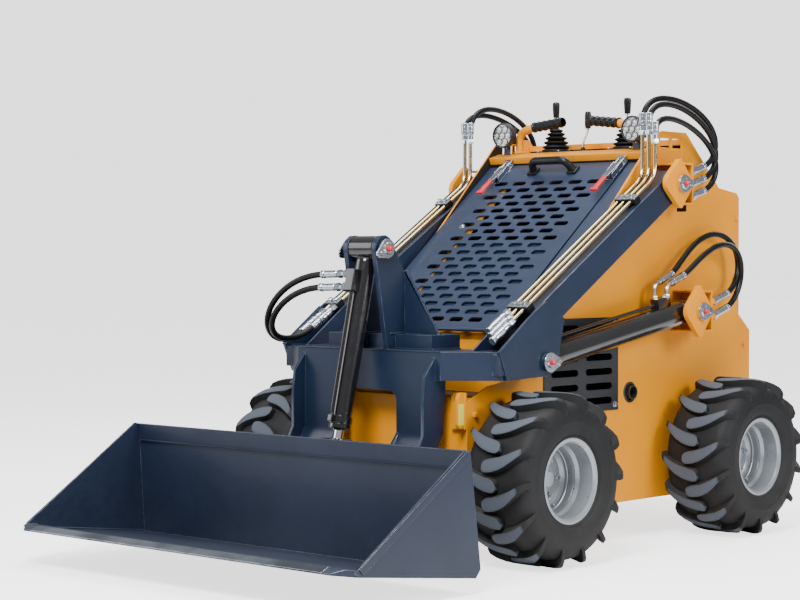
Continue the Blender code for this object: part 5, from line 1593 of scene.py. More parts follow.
@dataclass
class Wheel:
    """A wheel: a lugged tyre on a dished rim with its nuts and valve."""

    layout: Layout
    radius: float = 0.2286
    width: float = 0.216
    bead: float = 0.1023
    track: float = 0.867
    wheelbase: float = 0.892
    lug_depth: float = 0.019
    lug_count: int = 14

    def build(self) -> None:
        """Builds all four wheels."""
        for axle, y in (("front", 0.0), ("rear", self.wheelbase)):
            for side in SIDES:
                self.one(f"{axle}_{side_name(side)}", side, y)

    def one(self, name: str, side: int, y: float) -> None:
        """Builds one wheel; its own +Z points outwards."""
        centre = self.layout.datum.at(side * self.track / 2, y, self.radius)
        turn = Matrix.Rotation(math.radians(11.0 if y else 0.0), 4, "X")
        place = Matrix.Translation(centre) @ turn @ toward(Vector((side, 0, 0)), Vector((0, 0, 0)))
        tyre = Piece(f"tyre_{name}_skin").take(self.carcass(), Surface.TYRE, place)
        for half in SIDES:
            lugs = ring(self.lug(half), self.lug_count, Surface.TYRE, 0.0
                        if half > 0 else math.pi / self.lug_count)
            tyre.take_mesh(lugs, Surface.TYRE, place)
        tyre.on(f"wheel_{name}", "tyre", f"tyre_{name}")
        rim = Piece(f"rim_{name}_skin").take(self.rim(), Surface.RIM, place)
        self.dress_rim(rim, place)
        rim.on(f"wheel_{name}", "rim_paint", f"rim_{name}")

    def carcass(self) -> Shape:
        """The tyre's body, with rings moulded on its walls."""
        half = self.width / 2
        floor = self.radius - self.lug_depth
        wall = [
            (self.bead, half - 0.024), (self.bead + 0.010, half - 0.014),
            (self.bead + 0.014, half - 0.0105), (self.bead + 0.0175, half - 0.0118),
            (self.bead + 0.021, half - 0.0085), (self.bead + 0.036, half - 0.0030),
            (self.bead + 0.050, half - 0.0018), (self.bead + 0.0515, half - 0.0006),
            (self.bead + 0.054, half - 0.0006), (self.bead + 0.0555, half - 0.0018),
            (floor - 0.036, half - 0.0030), (floor - 0.020, half - 0.0085),
            (floor - 0.008, half - 0.0200), (floor - 0.0015, half - 0.0400), (floor, half - 0.070),
        ]
        inner = [(floor - 0.012, half - 0.060), (floor - 0.030, half - 0.022),
                 (self.bead + 0.05, half - 0.016), (self.bead + 0.012, half - 0.028),
                 (self.bead, half - 0.040)]
        profile = wall + [(floor + 0.001, 0.0)] + [(r, -z) for r, z in reversed(wall)]
        profile += [(r, -z) for r, z in reversed(inner)] + inner
        return turned(profile, 96, loop=True)

    def lug(self, half: int) -> Shape:
        """One tread bar on one half of the tread, swept from near the middle over the shoulder.

        Args:
            half: 1 for the outer half, -1 for the inner.

        Returns:
            The bar, with its worn top marked.
        """
        edge = self.width / 2
        top = self.radius
        stations = [
            # share of the half width, skew in degrees, half thickness, top radius, foot radius
            (-0.215, 0.9, 0.0070, top - 0.0006, top - 0.022),
            (-0.190, 0.8, 0.0125, top, top - 0.022),
            (-0.140, 0.6, 0.0165, top, top - 0.022),
            (-0.040, 0.2, 0.0188, top, top - 0.022),
            (0.12, -0.6, 0.0190, top, top - 0.022),
            (0.30, -2.0, 0.0182, top, top - 0.022),
            (0.48, -4.2, 0.0166, top - 0.0002, top - 0.023),
            (0.64, -6.9, 0.0142, top - 0.0012, top - 0.026),
            (0.78, -9.7, 0.0112, top - 0.0036, top - 0.032),
            (0.90, -12.2, 0.0088, top - 0.0085, top - 0.042),
            (0.970, -13.8, 0.0078, top - 0.0180, top - 0.050),
            (0.998, -14.8, 0.0064, top - 0.0340, top - 0.056),
        ]
        shape = bmesh.new()
        layer = shape.verts.layers.float.new("edge")
        rings = []
        for share, skew, thick, high, low in stations:
            z = half * share * edge
            foot_z = half * min(share, 0.955) * edge
            ring_verts = []
            cells = ((-1.22, low, foot_z, 0.0), (-1.0, high - 0.0028, z, 0.0),
                     (-0.92, high - 0.0005, z, 0.8), (-0.50, high, z, 1.0), (0.50, high, z, 1.0),
                     (0.92, high - 0.0005, z, 0.8), (1.0, high - 0.0028, z, 0.0),
                     (1.22, low, foot_z, 0.0))
            for across, radius, level, worn in cells:
                angle = math.radians(skew) + across * thick / top
                vert = shape.verts.new((radius * math.cos(angle), radius * math.sin(angle), level))
                vert[layer] = worn if share < 0.9 else 0.0
                ring_verts.append(vert)
            rings.append(ring_verts)
        for before, after in zip(rings, rings[1:]):
            for i in range(8):
                j = (i + 1) % 8
                shape.faces.new((before[i], before[j], after[j], after[i]))
        shape.faces.new(rings[0])
        shape.faces.new(rings[-1])
        bmesh.ops.recalc_face_normals(shape, faces=shape.faces)
        return shape

    def rim(self) -> Shape:
        """The rim's barrel and dished disc, as one turned shape."""
        r, half = self.bead - 0.0008, self.width / 2
        profile = [
            (0.000, 0.006), (0.026, 0.006), (0.030, 0.003), (0.052, 0.000), (0.066, -0.003),
            (0.074, -0.003), (0.082, 0.004), (0.0860, 0.012), (0.0868, 0.030), (0.0895, 0.036),
            (0.0960, 0.044), (0.0965, half - 0.036), (0.0985, half - 0.030), (0.0990, half - 0.020),
            (0.1035, half - 0.0150), (0.1105, half - 0.0138), (0.1150, half - 0.0150),
            (0.1170, half - 0.0180), (0.1155, half - 0.0205), (0.1110, half - 0.0185),
            (r, half - 0.0225), (r, half - 0.055), (0.089, half - 0.070), (0.089, -half + 0.070),
            (r, -half + 0.055), (r, -half + 0.0225), (0.1110, -half + 0.0185),
            (0.1155, -half + 0.0205), (0.1170, -half + 0.0180), (0.1105, -half + 0.0138),
            (0.0985, -half + 0.018), (0.0960, -half + 0.036), (0.085, -half + 0.056),
            (0.0835, -0.010), (0.060, -0.009), (0.020, -0.009), (0.0, -0.009),
        ]
        return turned(profile, 72)

    def dress_rim(self, piece: Piece, place: Matrix) -> None:
        """Adds the hub cap, the studs with their nuts, the hand holes' plugs and the valve."""
        cap = [(0, 0.004), (0.0300, 0.004), (0.0300, 0.010), (0.0275, 0.0125), (0.0235, 0.0130),
               (0.0225, 0.019), (0.0195, 0.0215), (0, 0.0220)]
        piece.take(turned(cap, 40), Surface.RIM, place)
        nut = merged([
            turned([(0, 0.0005), (0.0108, 0.0005), (0.0108, 0.0025), (0.0085, 0.003), (0, 0.003)],
                   20),
            hexagon(0.0165, 0.0025, 0.0125),
            turned([(0, 0.0120), (0.0045, 0.0120), (0.0045, 0.0180), (0.0038, 0.0190), (0, 0.0190)],
                   14),
        ])
        nut.transform(Matrix.Translation((0.0480, 0, 0)))
        piece.take_mesh(ring(nut, 5, Surface.ZINC, math.radians(18)), Surface.ZINC, place)
        weld = bead([Vector((0.0862 * math.cos(a), 0.0862 * math.sin(a), 0.0125))
                     for a in (2 * math.pi * i / 48 for i in range(49))], 0.0026, 0.008)
        piece.take(weld, Surface.RIM, place)
        stem = [Vector((0.074, -0.052, 0.030)), Vector((0.071, -0.050, 0.046)),
                Vector((0.062, -0.044, 0.062))]
        piece.take(tube(rounded(stem, 0.008, 5), lambda t: 0.0052 - 0.0014 * t, 12), Surface.BOOT,
                   place)
        piece.take(tube([stem[2], stem[2] + (stem[2] - stem[1]).normalized() * 0.009], 0.0042, 12),
                   Surface.ZINC, place)


@dataclass
class Loader:
    """The loader arms: beams, cross box with legs and tower, and their hard lines."""

    layout: Layout
    line_radius: float = 0.0060

    def build(self) -> None:
        """Builds the arms."""
        self.gantry()
        for side in SIDES:
            self.beam(side)
            self.lines(side)

    def gantry(self) -> None:
        """Builds the cross box with its weld beads and pin heads."""
        lay = self.layout
        d = lay.datum
        piece = Piece("arm_gantry_skin").take_node("arm_gantry", Surface.FRAME, 0.0016)
        for side in SIDES:
            out = Vector((side, 0, 0))
            for x in (0.0435, 0.0605):
                foot = [d.at(side * x, -0.187, 0.604), d.at(side * x, -0.060, 0.604)]
                piece.take(bead(foot, 0.0034), Surface.FRAME)
            wing = [d.at(side * 0.182, -0.1175, 0.6035), d.at(side * 0.062, -0.1175, 0.6035)]
            piece.take(bead(wing, 0.0032), Surface.FRAME)
            rise = [d.at(side * 0.0615, -0.1175, 0.606), d.at(side * 0.0615, -0.1175, 0.768)]
            piece.take(bead(rise, 0.0030), Surface.FRAME)
            box_edge = [d.at(side * 0.190, -0.165, 0.5635), d.at(side * 0.190, -0.050, 0.5635)]
            piece.take(bead(box_edge, 0.0034), Surface.FRAME)
            leg = [d.at(side * 0.2335, -0.2125, z) for z in (0.350, 0.485)]
            piece.take(bead(leg, 0.0030), Surface.FRAME)
            pin_head(piece, lay, side, lay.tilt_top, 0.0682, 205)
            pin_head(piece, lay, side, lay.lift_front, 0.4085, 0)
            cap = d.side(side * 0.2441, moved(lay.bucket_pin, ((0.0, 1.0), 0.0)))
            piece.spin([(0, 0), (0.021, 0), (0.021, 0.005), (0.018, 0.007), (0, 0.007)], 28,
                       Surface.ZINC, out, cap)
            bolt_place = d.side(side * 0.2441, moved(lay.bucket_pin, ((0.45, 0.89), 0.030)))
            stud(piece, [(bolt_place, out)], 0.010)
            gusset = [d.side(side * 0.4005, point) for point in ((0.010, 0.6665), (-0.138, 0.5625))]
            piece.take(bead(gusset, 0.0022), Surface.FRAME)
        front = [d.at(x, -0.1655, 0.5635) for x in (-0.190, 0.190)]
        piece.take(bead(front, 0.0034), Surface.FRAME)
        seam = [d.at(x, -0.2125, 0.5615) for x in (-0.262, 0.262)]
        piece.take(bead(seam, 0.0024), Surface.FRAME)
        piece.on("loader_arms", "frame_paint", "arm_gantry")

    def beam(self, side: int) -> None:
        """Builds one arm beam with its boss and its inner seam."""
        lay = self.layout
        name = f"arm_beam_{side_name(side)}"
        piece = Piece(name + "_skin").take_node(name, Surface.FRAME, 0.0035, 40)
        out = Vector((side, 0, 0))
        boss = turned([(0.0131, 0), (0.0300, 0), (0.0300, 0.0022), (0.0285, 0.0034),
                       (0.0131, 0.0034)], 36, loop=True)
        piece.take(boss, Surface.FRAME,
                   toward(out, lay.datum.side(side * lay.arm_outside, lay.arm_pivot)))
        seam = [lay.on_arm(side * (lay.arm_inside + 0.001), at, lay.beam_half - 0.001)
                for at in (0.03, 0.68)]
        piece.take(bead(seam, 0.0020), Surface.FRAME)
        piece.on("loader_arms", "frame_paint", name)

    def lines(self, side: int) -> None:
        """Builds an arm's hard lines with their nuts, clamps and quick couplers."""
        lay = self.layout
        name = f"arm_lines_{side_name(side)}"
        count = 3 if side > 0 else 2
        piece = Piece(name + "_skin")
        for i in range(count):
            path = lay.line_path(side, i)
            piece.take(tube(path, self.line_radius, 16), Surface.GOLD)
            self.fittings(piece, path, lay.coupler(side, i)[0])
        for at in (0.178, 0.735):
            self.clamp(piece, side, at, count)
        piece.on("loader_arms", "plated_line", name)

    @staticmethod
    def fittings(piece: Piece, path: Sequence[Vector], end: Vector) -> None:
        """Adds a line's rear union and its front coupler.

        Args:
            piece: The piece that they are added to.
            path: The line's middle.
            end: The coupler's far end.
        """
        up = (path[0] - path[1]).normalized()
        rear = toward(up, path[0])
        piece.take(hexagon(0.0205, -0.006, 0.008), Surface.ZINC, rear)
        piece.take(turned([(0, 0.007), (0.0094, 0.007), (0.0094, 0.0195), (0, 0.0195)], 20),
                   Surface.ZINC, rear)
        way = (end - path[-1]).normalized()
        length = (end - path[-1]).length
        front = toward(way, path[-1])
        piece.take(hexagon(0.0200, -0.012, 0.006), Surface.ZINC, front)
        body = [(0, 0.004), (0.0085, 0.004), (0.0085, 0.012), (0.0105, 0.014), (0.0105, 0.026),
                (0.0092, 0.028), (0.0092, 0.032), (0.0116, 0.034), (0.0116, length - 0.018),
                (0.0104, length - 0.016), (0.0104, length - 0.010), (0.0112, length - 0.008),
                (0.0112, length - 0.001), (0.0100, length), (0, length)]
        piece.take(turned(body, 28), Surface.ZINC, front)
        for i in range(6):
            groove = [(0.0116, 0), (0.0121, 0.0008), (0.0116, 0.0016)]
            low = 0.037 + i * 0.0036
            if low < length - 0.022:
                knurl = [(0.0112, low)] + [(r, low + z)
                                           for r, z in groove] + [(0.0112, low + 0.0016)]
                piece.take(turned(knurl, 28, loop=True), Surface.ZINC, front)

    def clamp(self, piece: Piece, side: int, at: float, count: int) -> None:
        """Adds a clamp block across the lines with its top plate and bolts."""
        lay = self.layout
        low_x, high_x = lay.arm_inside + 0.004, lay.arm_inside + 0.030 + 0.022 * (count - 1)
        middle = (low_x + high_x) / 2
        place = basis(lay.on_arm(side * middle, at, lay.beam_half + 0.0007), Vector((1, 0, 0)),
                      Vector((0, *lay.along)))
        half = (high_x - low_x) / 2
        flip = 1 if place.to_3x3().col[2].dot(Vector((0, *lay.across))) > 0 else -1
        low, high = sorted((0.0, flip * 0.0190))
        piece.take(block((-half, -0.014, low), (half, 0.014, high), 0.0016), Surface.GRIP, place)
        low, high = sorted((flip * 0.0190, flip * 0.0222))
        piece.take(block((-half + 0.001, -0.0125, low), (half - 0.001, 0.0125, high), 0.0008),
                   Surface.ZINC, place)
        up = Vector((0, *lay.across))
        stud(piece, [(lay.on_arm(side * (middle + shift), at, lay.beam_half + 0.0229), up)
                     for shift in (-0.011, 0.011)], 0.0125)


@dataclass
class Cylinder:
    """A hydraulic cylinder: a painted barrel with its port block, and a chromed rod."""

    layout: Layout
    barrel_name: str
    rod_name: str
    x: float
    start: Pair
    end: Pair
    radius: float
    rod_radius: float
    gland: float
    width: float
    port: float
    rod_start: float
    rod_width: float
    eye: float = 0.030

    def build(self) -> None:
        """Builds both pieces; each one's own +Z runs from the rear eye to the front one."""
        d = self.layout.datum
        way = self.layout.way(self.start, self.end)
        origin = d.side(self.x, self.start)
        forward = Vector((0, *way))
        place = basis(origin, Vector((1, 0, 0)), Vector((1, 0, 0)).cross(forward) * -1)
        length = math.hypot(self.end[0] - self.start[0], self.end[1] - self.start[1])
        self.barrel(place)
        self.rod(place, length)

    def cross_eye(self, radius: float, half: float, bore: float, at: float) -> Shape:
        """An eye whose hole runs across the cylinder, at a distance along it."""
        profile = [(bore, -half), (radius - 0.0015, -half), (radius, -half + 0.0015),
                   (radius, half - 0.0015), (radius - 0.0015, half), (bore, half)]
        shape = turned(profile, 36, loop=True)
        shape.transform(Matrix.Translation((0, 0, at)) @ Matrix.Rotation(math.pi / 2, 4, "Y"))
        return shape

    def barrel(self, place: Matrix) -> None:
        """Builds the barrel with its gland, port block, line and fittings."""
        r, g = self.radius, self.gland
        hole = self.rod_radius + 0.0006
        piece = Piece(self.barrel_name + "_skin")
        profile = [
            (0, 0.024), (r * 0.72, 0.024), (r * 0.94, 0.030), (r * 0.99, 0.036), (r, 0.042),
            (r, g - 0.048), (r - 0.001, g - 0.046), (r - 0.001, g - 0.036), (r + 0.003, g - 0.034),
            (r + 0.003, g - 0.018), (r + 0.0015, g - 0.016), (r + 0.0015, g - 0.0145),
            (r + 0.003, g - 0.013), (r + 0.003, g - 0.003), (r + 0.001, g - 0.001),
            (hole + 0.0060, g - 0.001), (hole + 0.0045, g + 0.0012), (hole, g + 0.0012),
            (hole, 0.076), (0, 0.076),
        ]
        piece.take(turned(profile, 56), Surface.CYLINDER, place)
        piece.take(self.cross_eye(self.eye + 0.004, self.width, 0.0128, 0.0), Surface.CYLINDER,
                   place)
        neck = turned([(0, 0.012), (r * 0.62, 0.012), (r * 0.70, 0.026), (0, 0.026)], 32)
        piece.take(neck, Surface.CYLINDER, place)
        wipers = [(hole + 0.0002, g), (hole + 0.0038, g), (hole + 0.0030, g + 0.0022),
                  (hole + 0.0002, g + 0.0028)]
        piece.take(turned(wipers, 36, loop=True), Surface.ZINC, place)
        rise = self.port_side(place)
        low, high = sorted((rise * (r - 0.004), rise * (r + 0.026)))
        port = block((-0.015, low, self.port), (0.015, high, self.port + 0.060), 0.0025)
        piece.take(port, Surface.CYLINDER, place)
        far = [Vector((0, rise * (r + 0.010), self.port + 0.055)),
               Vector((0, rise * (r + 0.010), g - 0.052)),
               Vector((0, rise * (r + 0.009), g - 0.034)),
               Vector((0, rise * (r - 0.006), g - 0.022))]
        piece.take(tube(rounded(far, 0.014, 6), 0.0050, 16), Surface.CYLINDER, place)
        low, high = sorted((rise * (r - 0.004), rise * (r + 0.016)))
        foot = block((-0.0080, low, g - 0.034), (0.0080, high, g - 0.016), 0.002)
        piece.take(foot, Surface.CYLINDER, place)
        weld = [Vector((r * 0.90 * math.cos(a), r * 0.90 * math.sin(a), 0.030)) for a in
                (2 * math.pi * i / 32 for i in range(33))]
        piece.take(bead(weld, 0.0028, 0.006), Surface.CYLINDER, place)
        self.fittings(piece)
        piece.on(self.barrel_name, "cylinder_paint", self.barrel_name)

    def port_side(self, place: Matrix) -> int:
        """1 if the port block stands on the piece's own +Y side, else -1."""
        way = self.layout.way(self.start, self.end)
        over = Vector((0, way[1], -way[0]))
        return 1 if place.to_3x3().col[1].dot(over) > 0 else -1

    def fittings(self, piece: Piece) -> None:
        """Adds the port block's fittings: elbows on a lift barrel, straight ones on the tilt's."""
        lay = self.layout
        for i in range(2):
            if self.x:
                side = 1 if self.x > 0 else -1
                foot, top, end = lay.elbow(side, i)
                path = rounded([foot - Vector((0, 0, 0.004)), top, end], 0.016, 8)
                piece.take(tube(path, 0.0062, 16), Surface.ZINC)
                piece.nut(0.0190, 0.000, 0.012, Vector((0, 0, 1)), foot)
                way = (end - top).normalized()
                reach = (end - top).length
                piece.nut(0.0190, reach * 0.34, reach * 0.34 + 0.010, way, top)
                sleeve = self.sleeve(reach * 0.48, reach + 0.0015)
                piece.take(sleeve, Surface.ZINC, toward(way, top))
            else:
                start, end = lay.tilt_port(i)
                way = (end - start).normalized()
                piece.nut(0.0220, -0.002, 0.016, way, start)
                piece.rod(0.0082, 0.014, 0.034, 18, way, start)
                piece.nut(0.0200, 0.026, 0.040, way, start)
                piece.take(self.sleeve(0.042, (end - start).length), Surface.ZINC,
                           toward(way, start))

    @staticmethod
    def sleeve(low: float, high: float) -> Shape:
        """A crimped sleeve between two heights, with two grooves."""
        profile = [(0, low), (0.0085, low), (0.0098, low + 0.002)]
        step = (high - low - 0.004) / 2
        for i in range(2):
            base = low + 0.002 + step * i
            profile += [(0.0101, base), (0.0101, base + step * 0.80), (0.0097, base + step * 0.84),
                        (0.0097, base + step * 0.96)]
        profile += [(0.0098, high - 0.001), (0.0090, high), (0, high)]
        return turned(profile, 20)

    def rod(self, place: Matrix, length: float) -> None:
        """Builds the rod with its eye."""
        piece = Piece(self.rod_name + "_skin")
        r = self.rod_radius
        shaft = [(0, self.rod_start), (r - 0.001, self.rod_start), (r, self.rod_start + 0.001),
                 (r, length - 0.020), (0, length - 0.020)]
        piece.take(turned(shaft, 48), Surface.CHROME, place)
        neck = [(0, length - 0.0285), (r + 0.0035, length - 0.0285), (r + 0.0045, length - 0.026),
                (r + 0.0045, length - 0.010), (0, length - 0.010)]
        piece.take(turned(neck, 36), Surface.CYLINDER, place)
        piece.take(self.cross_eye(self.eye - 0.002, self.rod_width, 0.0004, length),
                   Surface.CYLINDER, place)
        piece.on(self.rod_name, "rod_chrome", self.rod_name)


@dataclass
class Bucket:
    """The bucket and the attachment plate behind it."""

    layout: Layout
    width: float = 1.215
    top: Pair = (-0.493, 0.347)
    back_foot: Pair = (-0.455, 0.059)
    heel: Pair = (-0.472, 0.039)
    lip: Pair = (-0.925, 0.0925)
    strip_half: float = 0.534

    def build(self) -> None:
        """Builds the shell, its rims, its cutting edge and the plate."""
        lay = self.layout
        d = lay.datum
        half = self.width / 2
        shell = Piece("bucket_shell_skin").take_node("bucket_shell", Surface.BUCKET, 0.0014)
        for side in SIDES:
            shell.take(self.side_rim(side, half), Surface.BUCKET)
            inner = [d.at(side * (half - 0.0075), y, z)
                     for y, z in ((-0.498, 0.335), (-0.4625, 0.066), (-0.478, 0.0475))]
            shell.take(bead(inner, 0.0034), Surface.BUCKET)
            floor = [d.at(side * (half - 0.0075), y, z)
                     for y, z in ((-0.485, 0.0475), (-0.845, 0.0910))]
            shell.take(bead(floor, 0.0034), Surface.BUCKET)
        way = lay.way(self.top, self.back_foot)
        strip = [moved(self.top, (way, 0.0006), ((-1, 0), 0.0055)),
                 moved(self.top, (way, 0.0006), ((-1, 0), 0.0105)),
                 moved(self.top, (way, 0.045), ((-1, 0), 0.0105)),
                 moved(self.top, (way, 0.045), ((-1, 0), 0.0055))]
        shell.take(prism(d.outline(strip), "X", -half + 0.007, half - 0.007, 0.0012),
                   Surface.BUCKET)
        seam = [d.at(x, self.top[0] - 0.0075, self.top[1] - 0.0455)
                for x in (-half + 0.01, half - 0.01)]
        shell.take(bead(seam, 0.0022, 0.006), Surface.BUCKET)
        joint = [d.at(x, -0.849, 0.0955) for x in (-half + 0.012, half - 0.012)]
        shell.take(bead(joint, 0.0030), Surface.BUCKET)
        shell.take(self.edge(), Surface.STEEL)
        shell.on("bucket", "bucket_paint", "bucket_shell")
        plate = Piece("attachment_plate_skin").take_node("attachment_plate", Surface.FRAME, 0.0014)
        for side in SIDES:
            out = Vector((side, 0, 0))
            head = turned([(0, 0), (0.0170, 0), (0.0170, 0.004), (0.0150, 0.006), (0, 0.006)], 28)
            plate.take(head, Surface.ZINC, toward(out, d.side(side * 0.0520, lay.tilt_rod)))
        plate.on("bucket", "frame_paint", "attachment_plate")

    def side_rim(self, side: int, half: float) -> Shape:
        """The flat bar along a side plate's sloping edge, inside the plate."""
        d = self.layout.datum
        start, end = (-0.507, 0.3485), (-0.880, 0.1060)
        way = self.layout.way(start, end)
        down = (-way[1], way[0])
        if down[1] > 0:
            down = (-down[0], -down[1])
        corners = [start, end, moved(end, (down, 0.020), (way, -0.004)),
                   moved(start, (down, 0.020))]
        low, high = sorted((side * (half + 0.0002), side * (half + 0.0035)))
        return prism(d.outline(corners), "X", low, high, 0.0012)

    def edge(self) -> Shape:
        """The worn steel strip along the lip."""
        d = self.layout.datum
        way = self.layout.way(self.heel, self.lip)
        up = (way[1], -way[0])
        if up[1] < 0:
            up = (-up[0], -up[1])
        outline = [
            moved(self.lip, (way, 0.0008), (up, 0.0002)),
            moved(self.lip, (way, 0.0008), (up, 0.0046)),
            moved(self.lip, (way, -0.0215), (up, 0.0170)),
            moved(self.lip, (way, -0.0330), (up, 0.0170)),
            moved(self.lip, (way, -0.0330), (up, 0.0155)),
            moved(self.lip, (way, -0.0215), (up, 0.0150)),
        ]
        return prism(d.outline(outline), "X", -self.strip_half, self.strip_half, 0.0006)


@dataclass
class Door:
    """The rear door with its ribs, hinges and knob."""

    layout: Layout
    half_width: float = 0.283

    def build(self) -> None:
        """Builds the door."""
        d = self.layout.datum
        piece = Piece("rear_door_skin").take_node("rear_door", Surface.BODY, 0.0022)
        back = Vector((0, 1, 0))
        slots = [(x, z) for z in (-0.09, -0.06, -0.03, 0.0) for x in (-0.10, 0.0, 0.10)]
        place = basis(d.at(-0.03, 1.1242, 0.885), Vector((-1, 0, 0)), Vector((0, 0, 1)))
        piece.take_mesh(slotted(0.32, 0.145, [(x, z + 0.045) for x, z in slots], (0.080, 0.012),
                                0.0028, Surface.VENT),
                        Surface.VENT, place)
        stud(piece, [(d.at(x, 1.1242 + 0.0028, z), back) for x in (-0.178, 0.118)
                     for z in (0.8245, 0.9455)], 0.011)
        for z in (0.700, 0.915):
            hinge = tube([d.at(-self.half_width, 1.1200, z - 0.030),
                          d.at(-self.half_width, 1.1200, z + 0.030)], 0.0048, 16)
            piece.take(hinge, Surface.ZINC)
            leaf = block((-self.half_width + 0.003, d.axle + 1.1225, z - 0.027),
                         (-self.half_width + 0.040, d.axle + 1.1250, z + 0.027), 0.0006)
            piece.take(leaf, Surface.BODY)
        knob = turned([(0, 0), (0.022, 0), (0.022, 0.002), (0.011, 0.004), (0.011, 0.014),
                       (0.0175, 0.018), (0.0180, 0.025), (0.0150, 0.029), (0, 0.030)], 28)
        piece.take(knob, Surface.GRIP, toward(back, d.at(0.238, 1.1242, 0.81)))
        piece.on("rear_door", "body_paint", "rear_door")


@dataclass
class Hoses:
    """The flexible hoses, each group laid between two bodies."""

    layout: Layout

    def build(self) -> None:
        """Builds the five groups."""
        for side in SIDES:
            self.upper(side)
            self.lift(side)
        self.tilt()

    def group(self, name: str, runs: Sequence[tuple[list[Vector], Vector, Vector]],
              ends: Pair) -> Piece:
        """Lays hoses with crimped ends.

        Args:
            name: The group's frame node.
            runs: Each hose's path with its direction at the start and at the end.
            ends: How far the crimped ends reach at the start and at the end.

        Returns:
            The piece, not built yet.
        """
        piece = Piece(name + "_skin")
        for path, first, last in runs:
            piece.take(tube(path, self.layout.hose_radius, 18), Surface.HOSE)
            ferrule(piece, path[0] - first * 0.0060, first, ends[0])
            ferrule(piece, path[-1] - last * 0.0060, last, ends[1])
        return piece

    def upper(self, side: int) -> None:
        """Builds the loops from an arm's lines to the body over the arm's pivot."""
        lay = self.layout
        runs = []
        for i in range(3 if side > 0 else 2):
            top, bend, _ = lay.line_corners(side, i)
            way = (top - bend).normalized()
            start = top + way * (0.020 + lay.hose_gap)
            first, last = lay.upper_union(side, i)
            union_way = (last - first).normalized()
            end = last + union_way * lay.hose_gap
            corners = [start, start + way * (0.110 - 0.016 * i),
                       start + Vector((0, 0.130, 0.110 - 0.026 * i)),
                       Vector((end.x, end.y + 0.050, start.z + 0.076 - 0.030 * i)),
                       end + Vector((0, 0.150, 0.095)), end + union_way * 0.070, end]
            runs.append((bezier(corners, 48), way, union_way))
        name = f"upper_hoses_{side_name(side)}"
        self.finish(name, runs, (0.040, 0.016), "loader_arms", "machine_body")

    def lift(self, side: int) -> None:
        """Builds the loops from a lift barrel's elbows to the body."""
        lay = self.layout
        runs = []
        for i in range(2):
            _, top, elbow_end = lay.elbow(side, i)
            way = (elbow_end - top).normalized()
            start = elbow_end + way * (0.002 + lay.hose_gap)
            first, last = lay.lower_union(side, 1 - i)
            union_way = (last - first).normalized()
            end = last + union_way * lay.hose_gap
            step = Vector((side * 0.008 * (1 - 2 * i), 0, 0))
            corners = [start, start + way * 0.070,
                       start + Vector((0, 0.120, 0.090 + 0.036 * i)) + step,
                       start + Vector((0, 0.290, 0.210 + 0.024 * i)) + step,
                       end + Vector((0, 0.160 + 0.020 * i, 0.130)) + step, end + union_way * 0.070,
                       end]
            runs.append((bezier(corners, 48), way, union_way))
        name = side_name(side)
        self.finish(f"lift_hoses_{name}", runs, (0.016, 0.016), f"lift_barrel_{name}",
                    "machine_body")

    def tilt(self) -> None:
        """Builds the loops from the tilt barrel to the right arm's lines."""
        lay = self.layout
        runs = []
        for i in range(2):
            first, start = lay.tilt_port(i)
            way = (start - first).normalized()
            start = start + way * lay.hose_gap
            tip, line_way = lay.coupler(-1, 1 - i)
            end = tip + line_way * lay.hose_gap
            corners = [start, start + way * 0.120,
                       start + Vector((-0.235 + 0.030 * i, -0.020, -0.050)),
                       start + Vector((-0.290 + 0.020 * i, -0.045, -0.210 + 0.020 * i)),
                       end + line_way * 0.110 + Vector((0.010, 0, -0.010)), end + line_way * 0.060,
                       end]
            runs.append((bezier(corners, 48), way, line_way))
        self.finish("tilt_hoses", runs, (0.016, 0.040), "tilt_barrel", "loader_arms")

    def finish(self, name: str, runs: Sequence[tuple[list[Vector], Vector, Vector]], ends: Pair,
               first: str, second: str) -> None:
        """Builds a group fixed in place, between one body and the other."""
        piece = self.group(name, runs, ends)
        path = runs[0][0]
        piece.across(first, second, path[0] + runs[0][1] * 0.05, path[-1] + runs[0][2] * 0.05,
                     "hose", name)


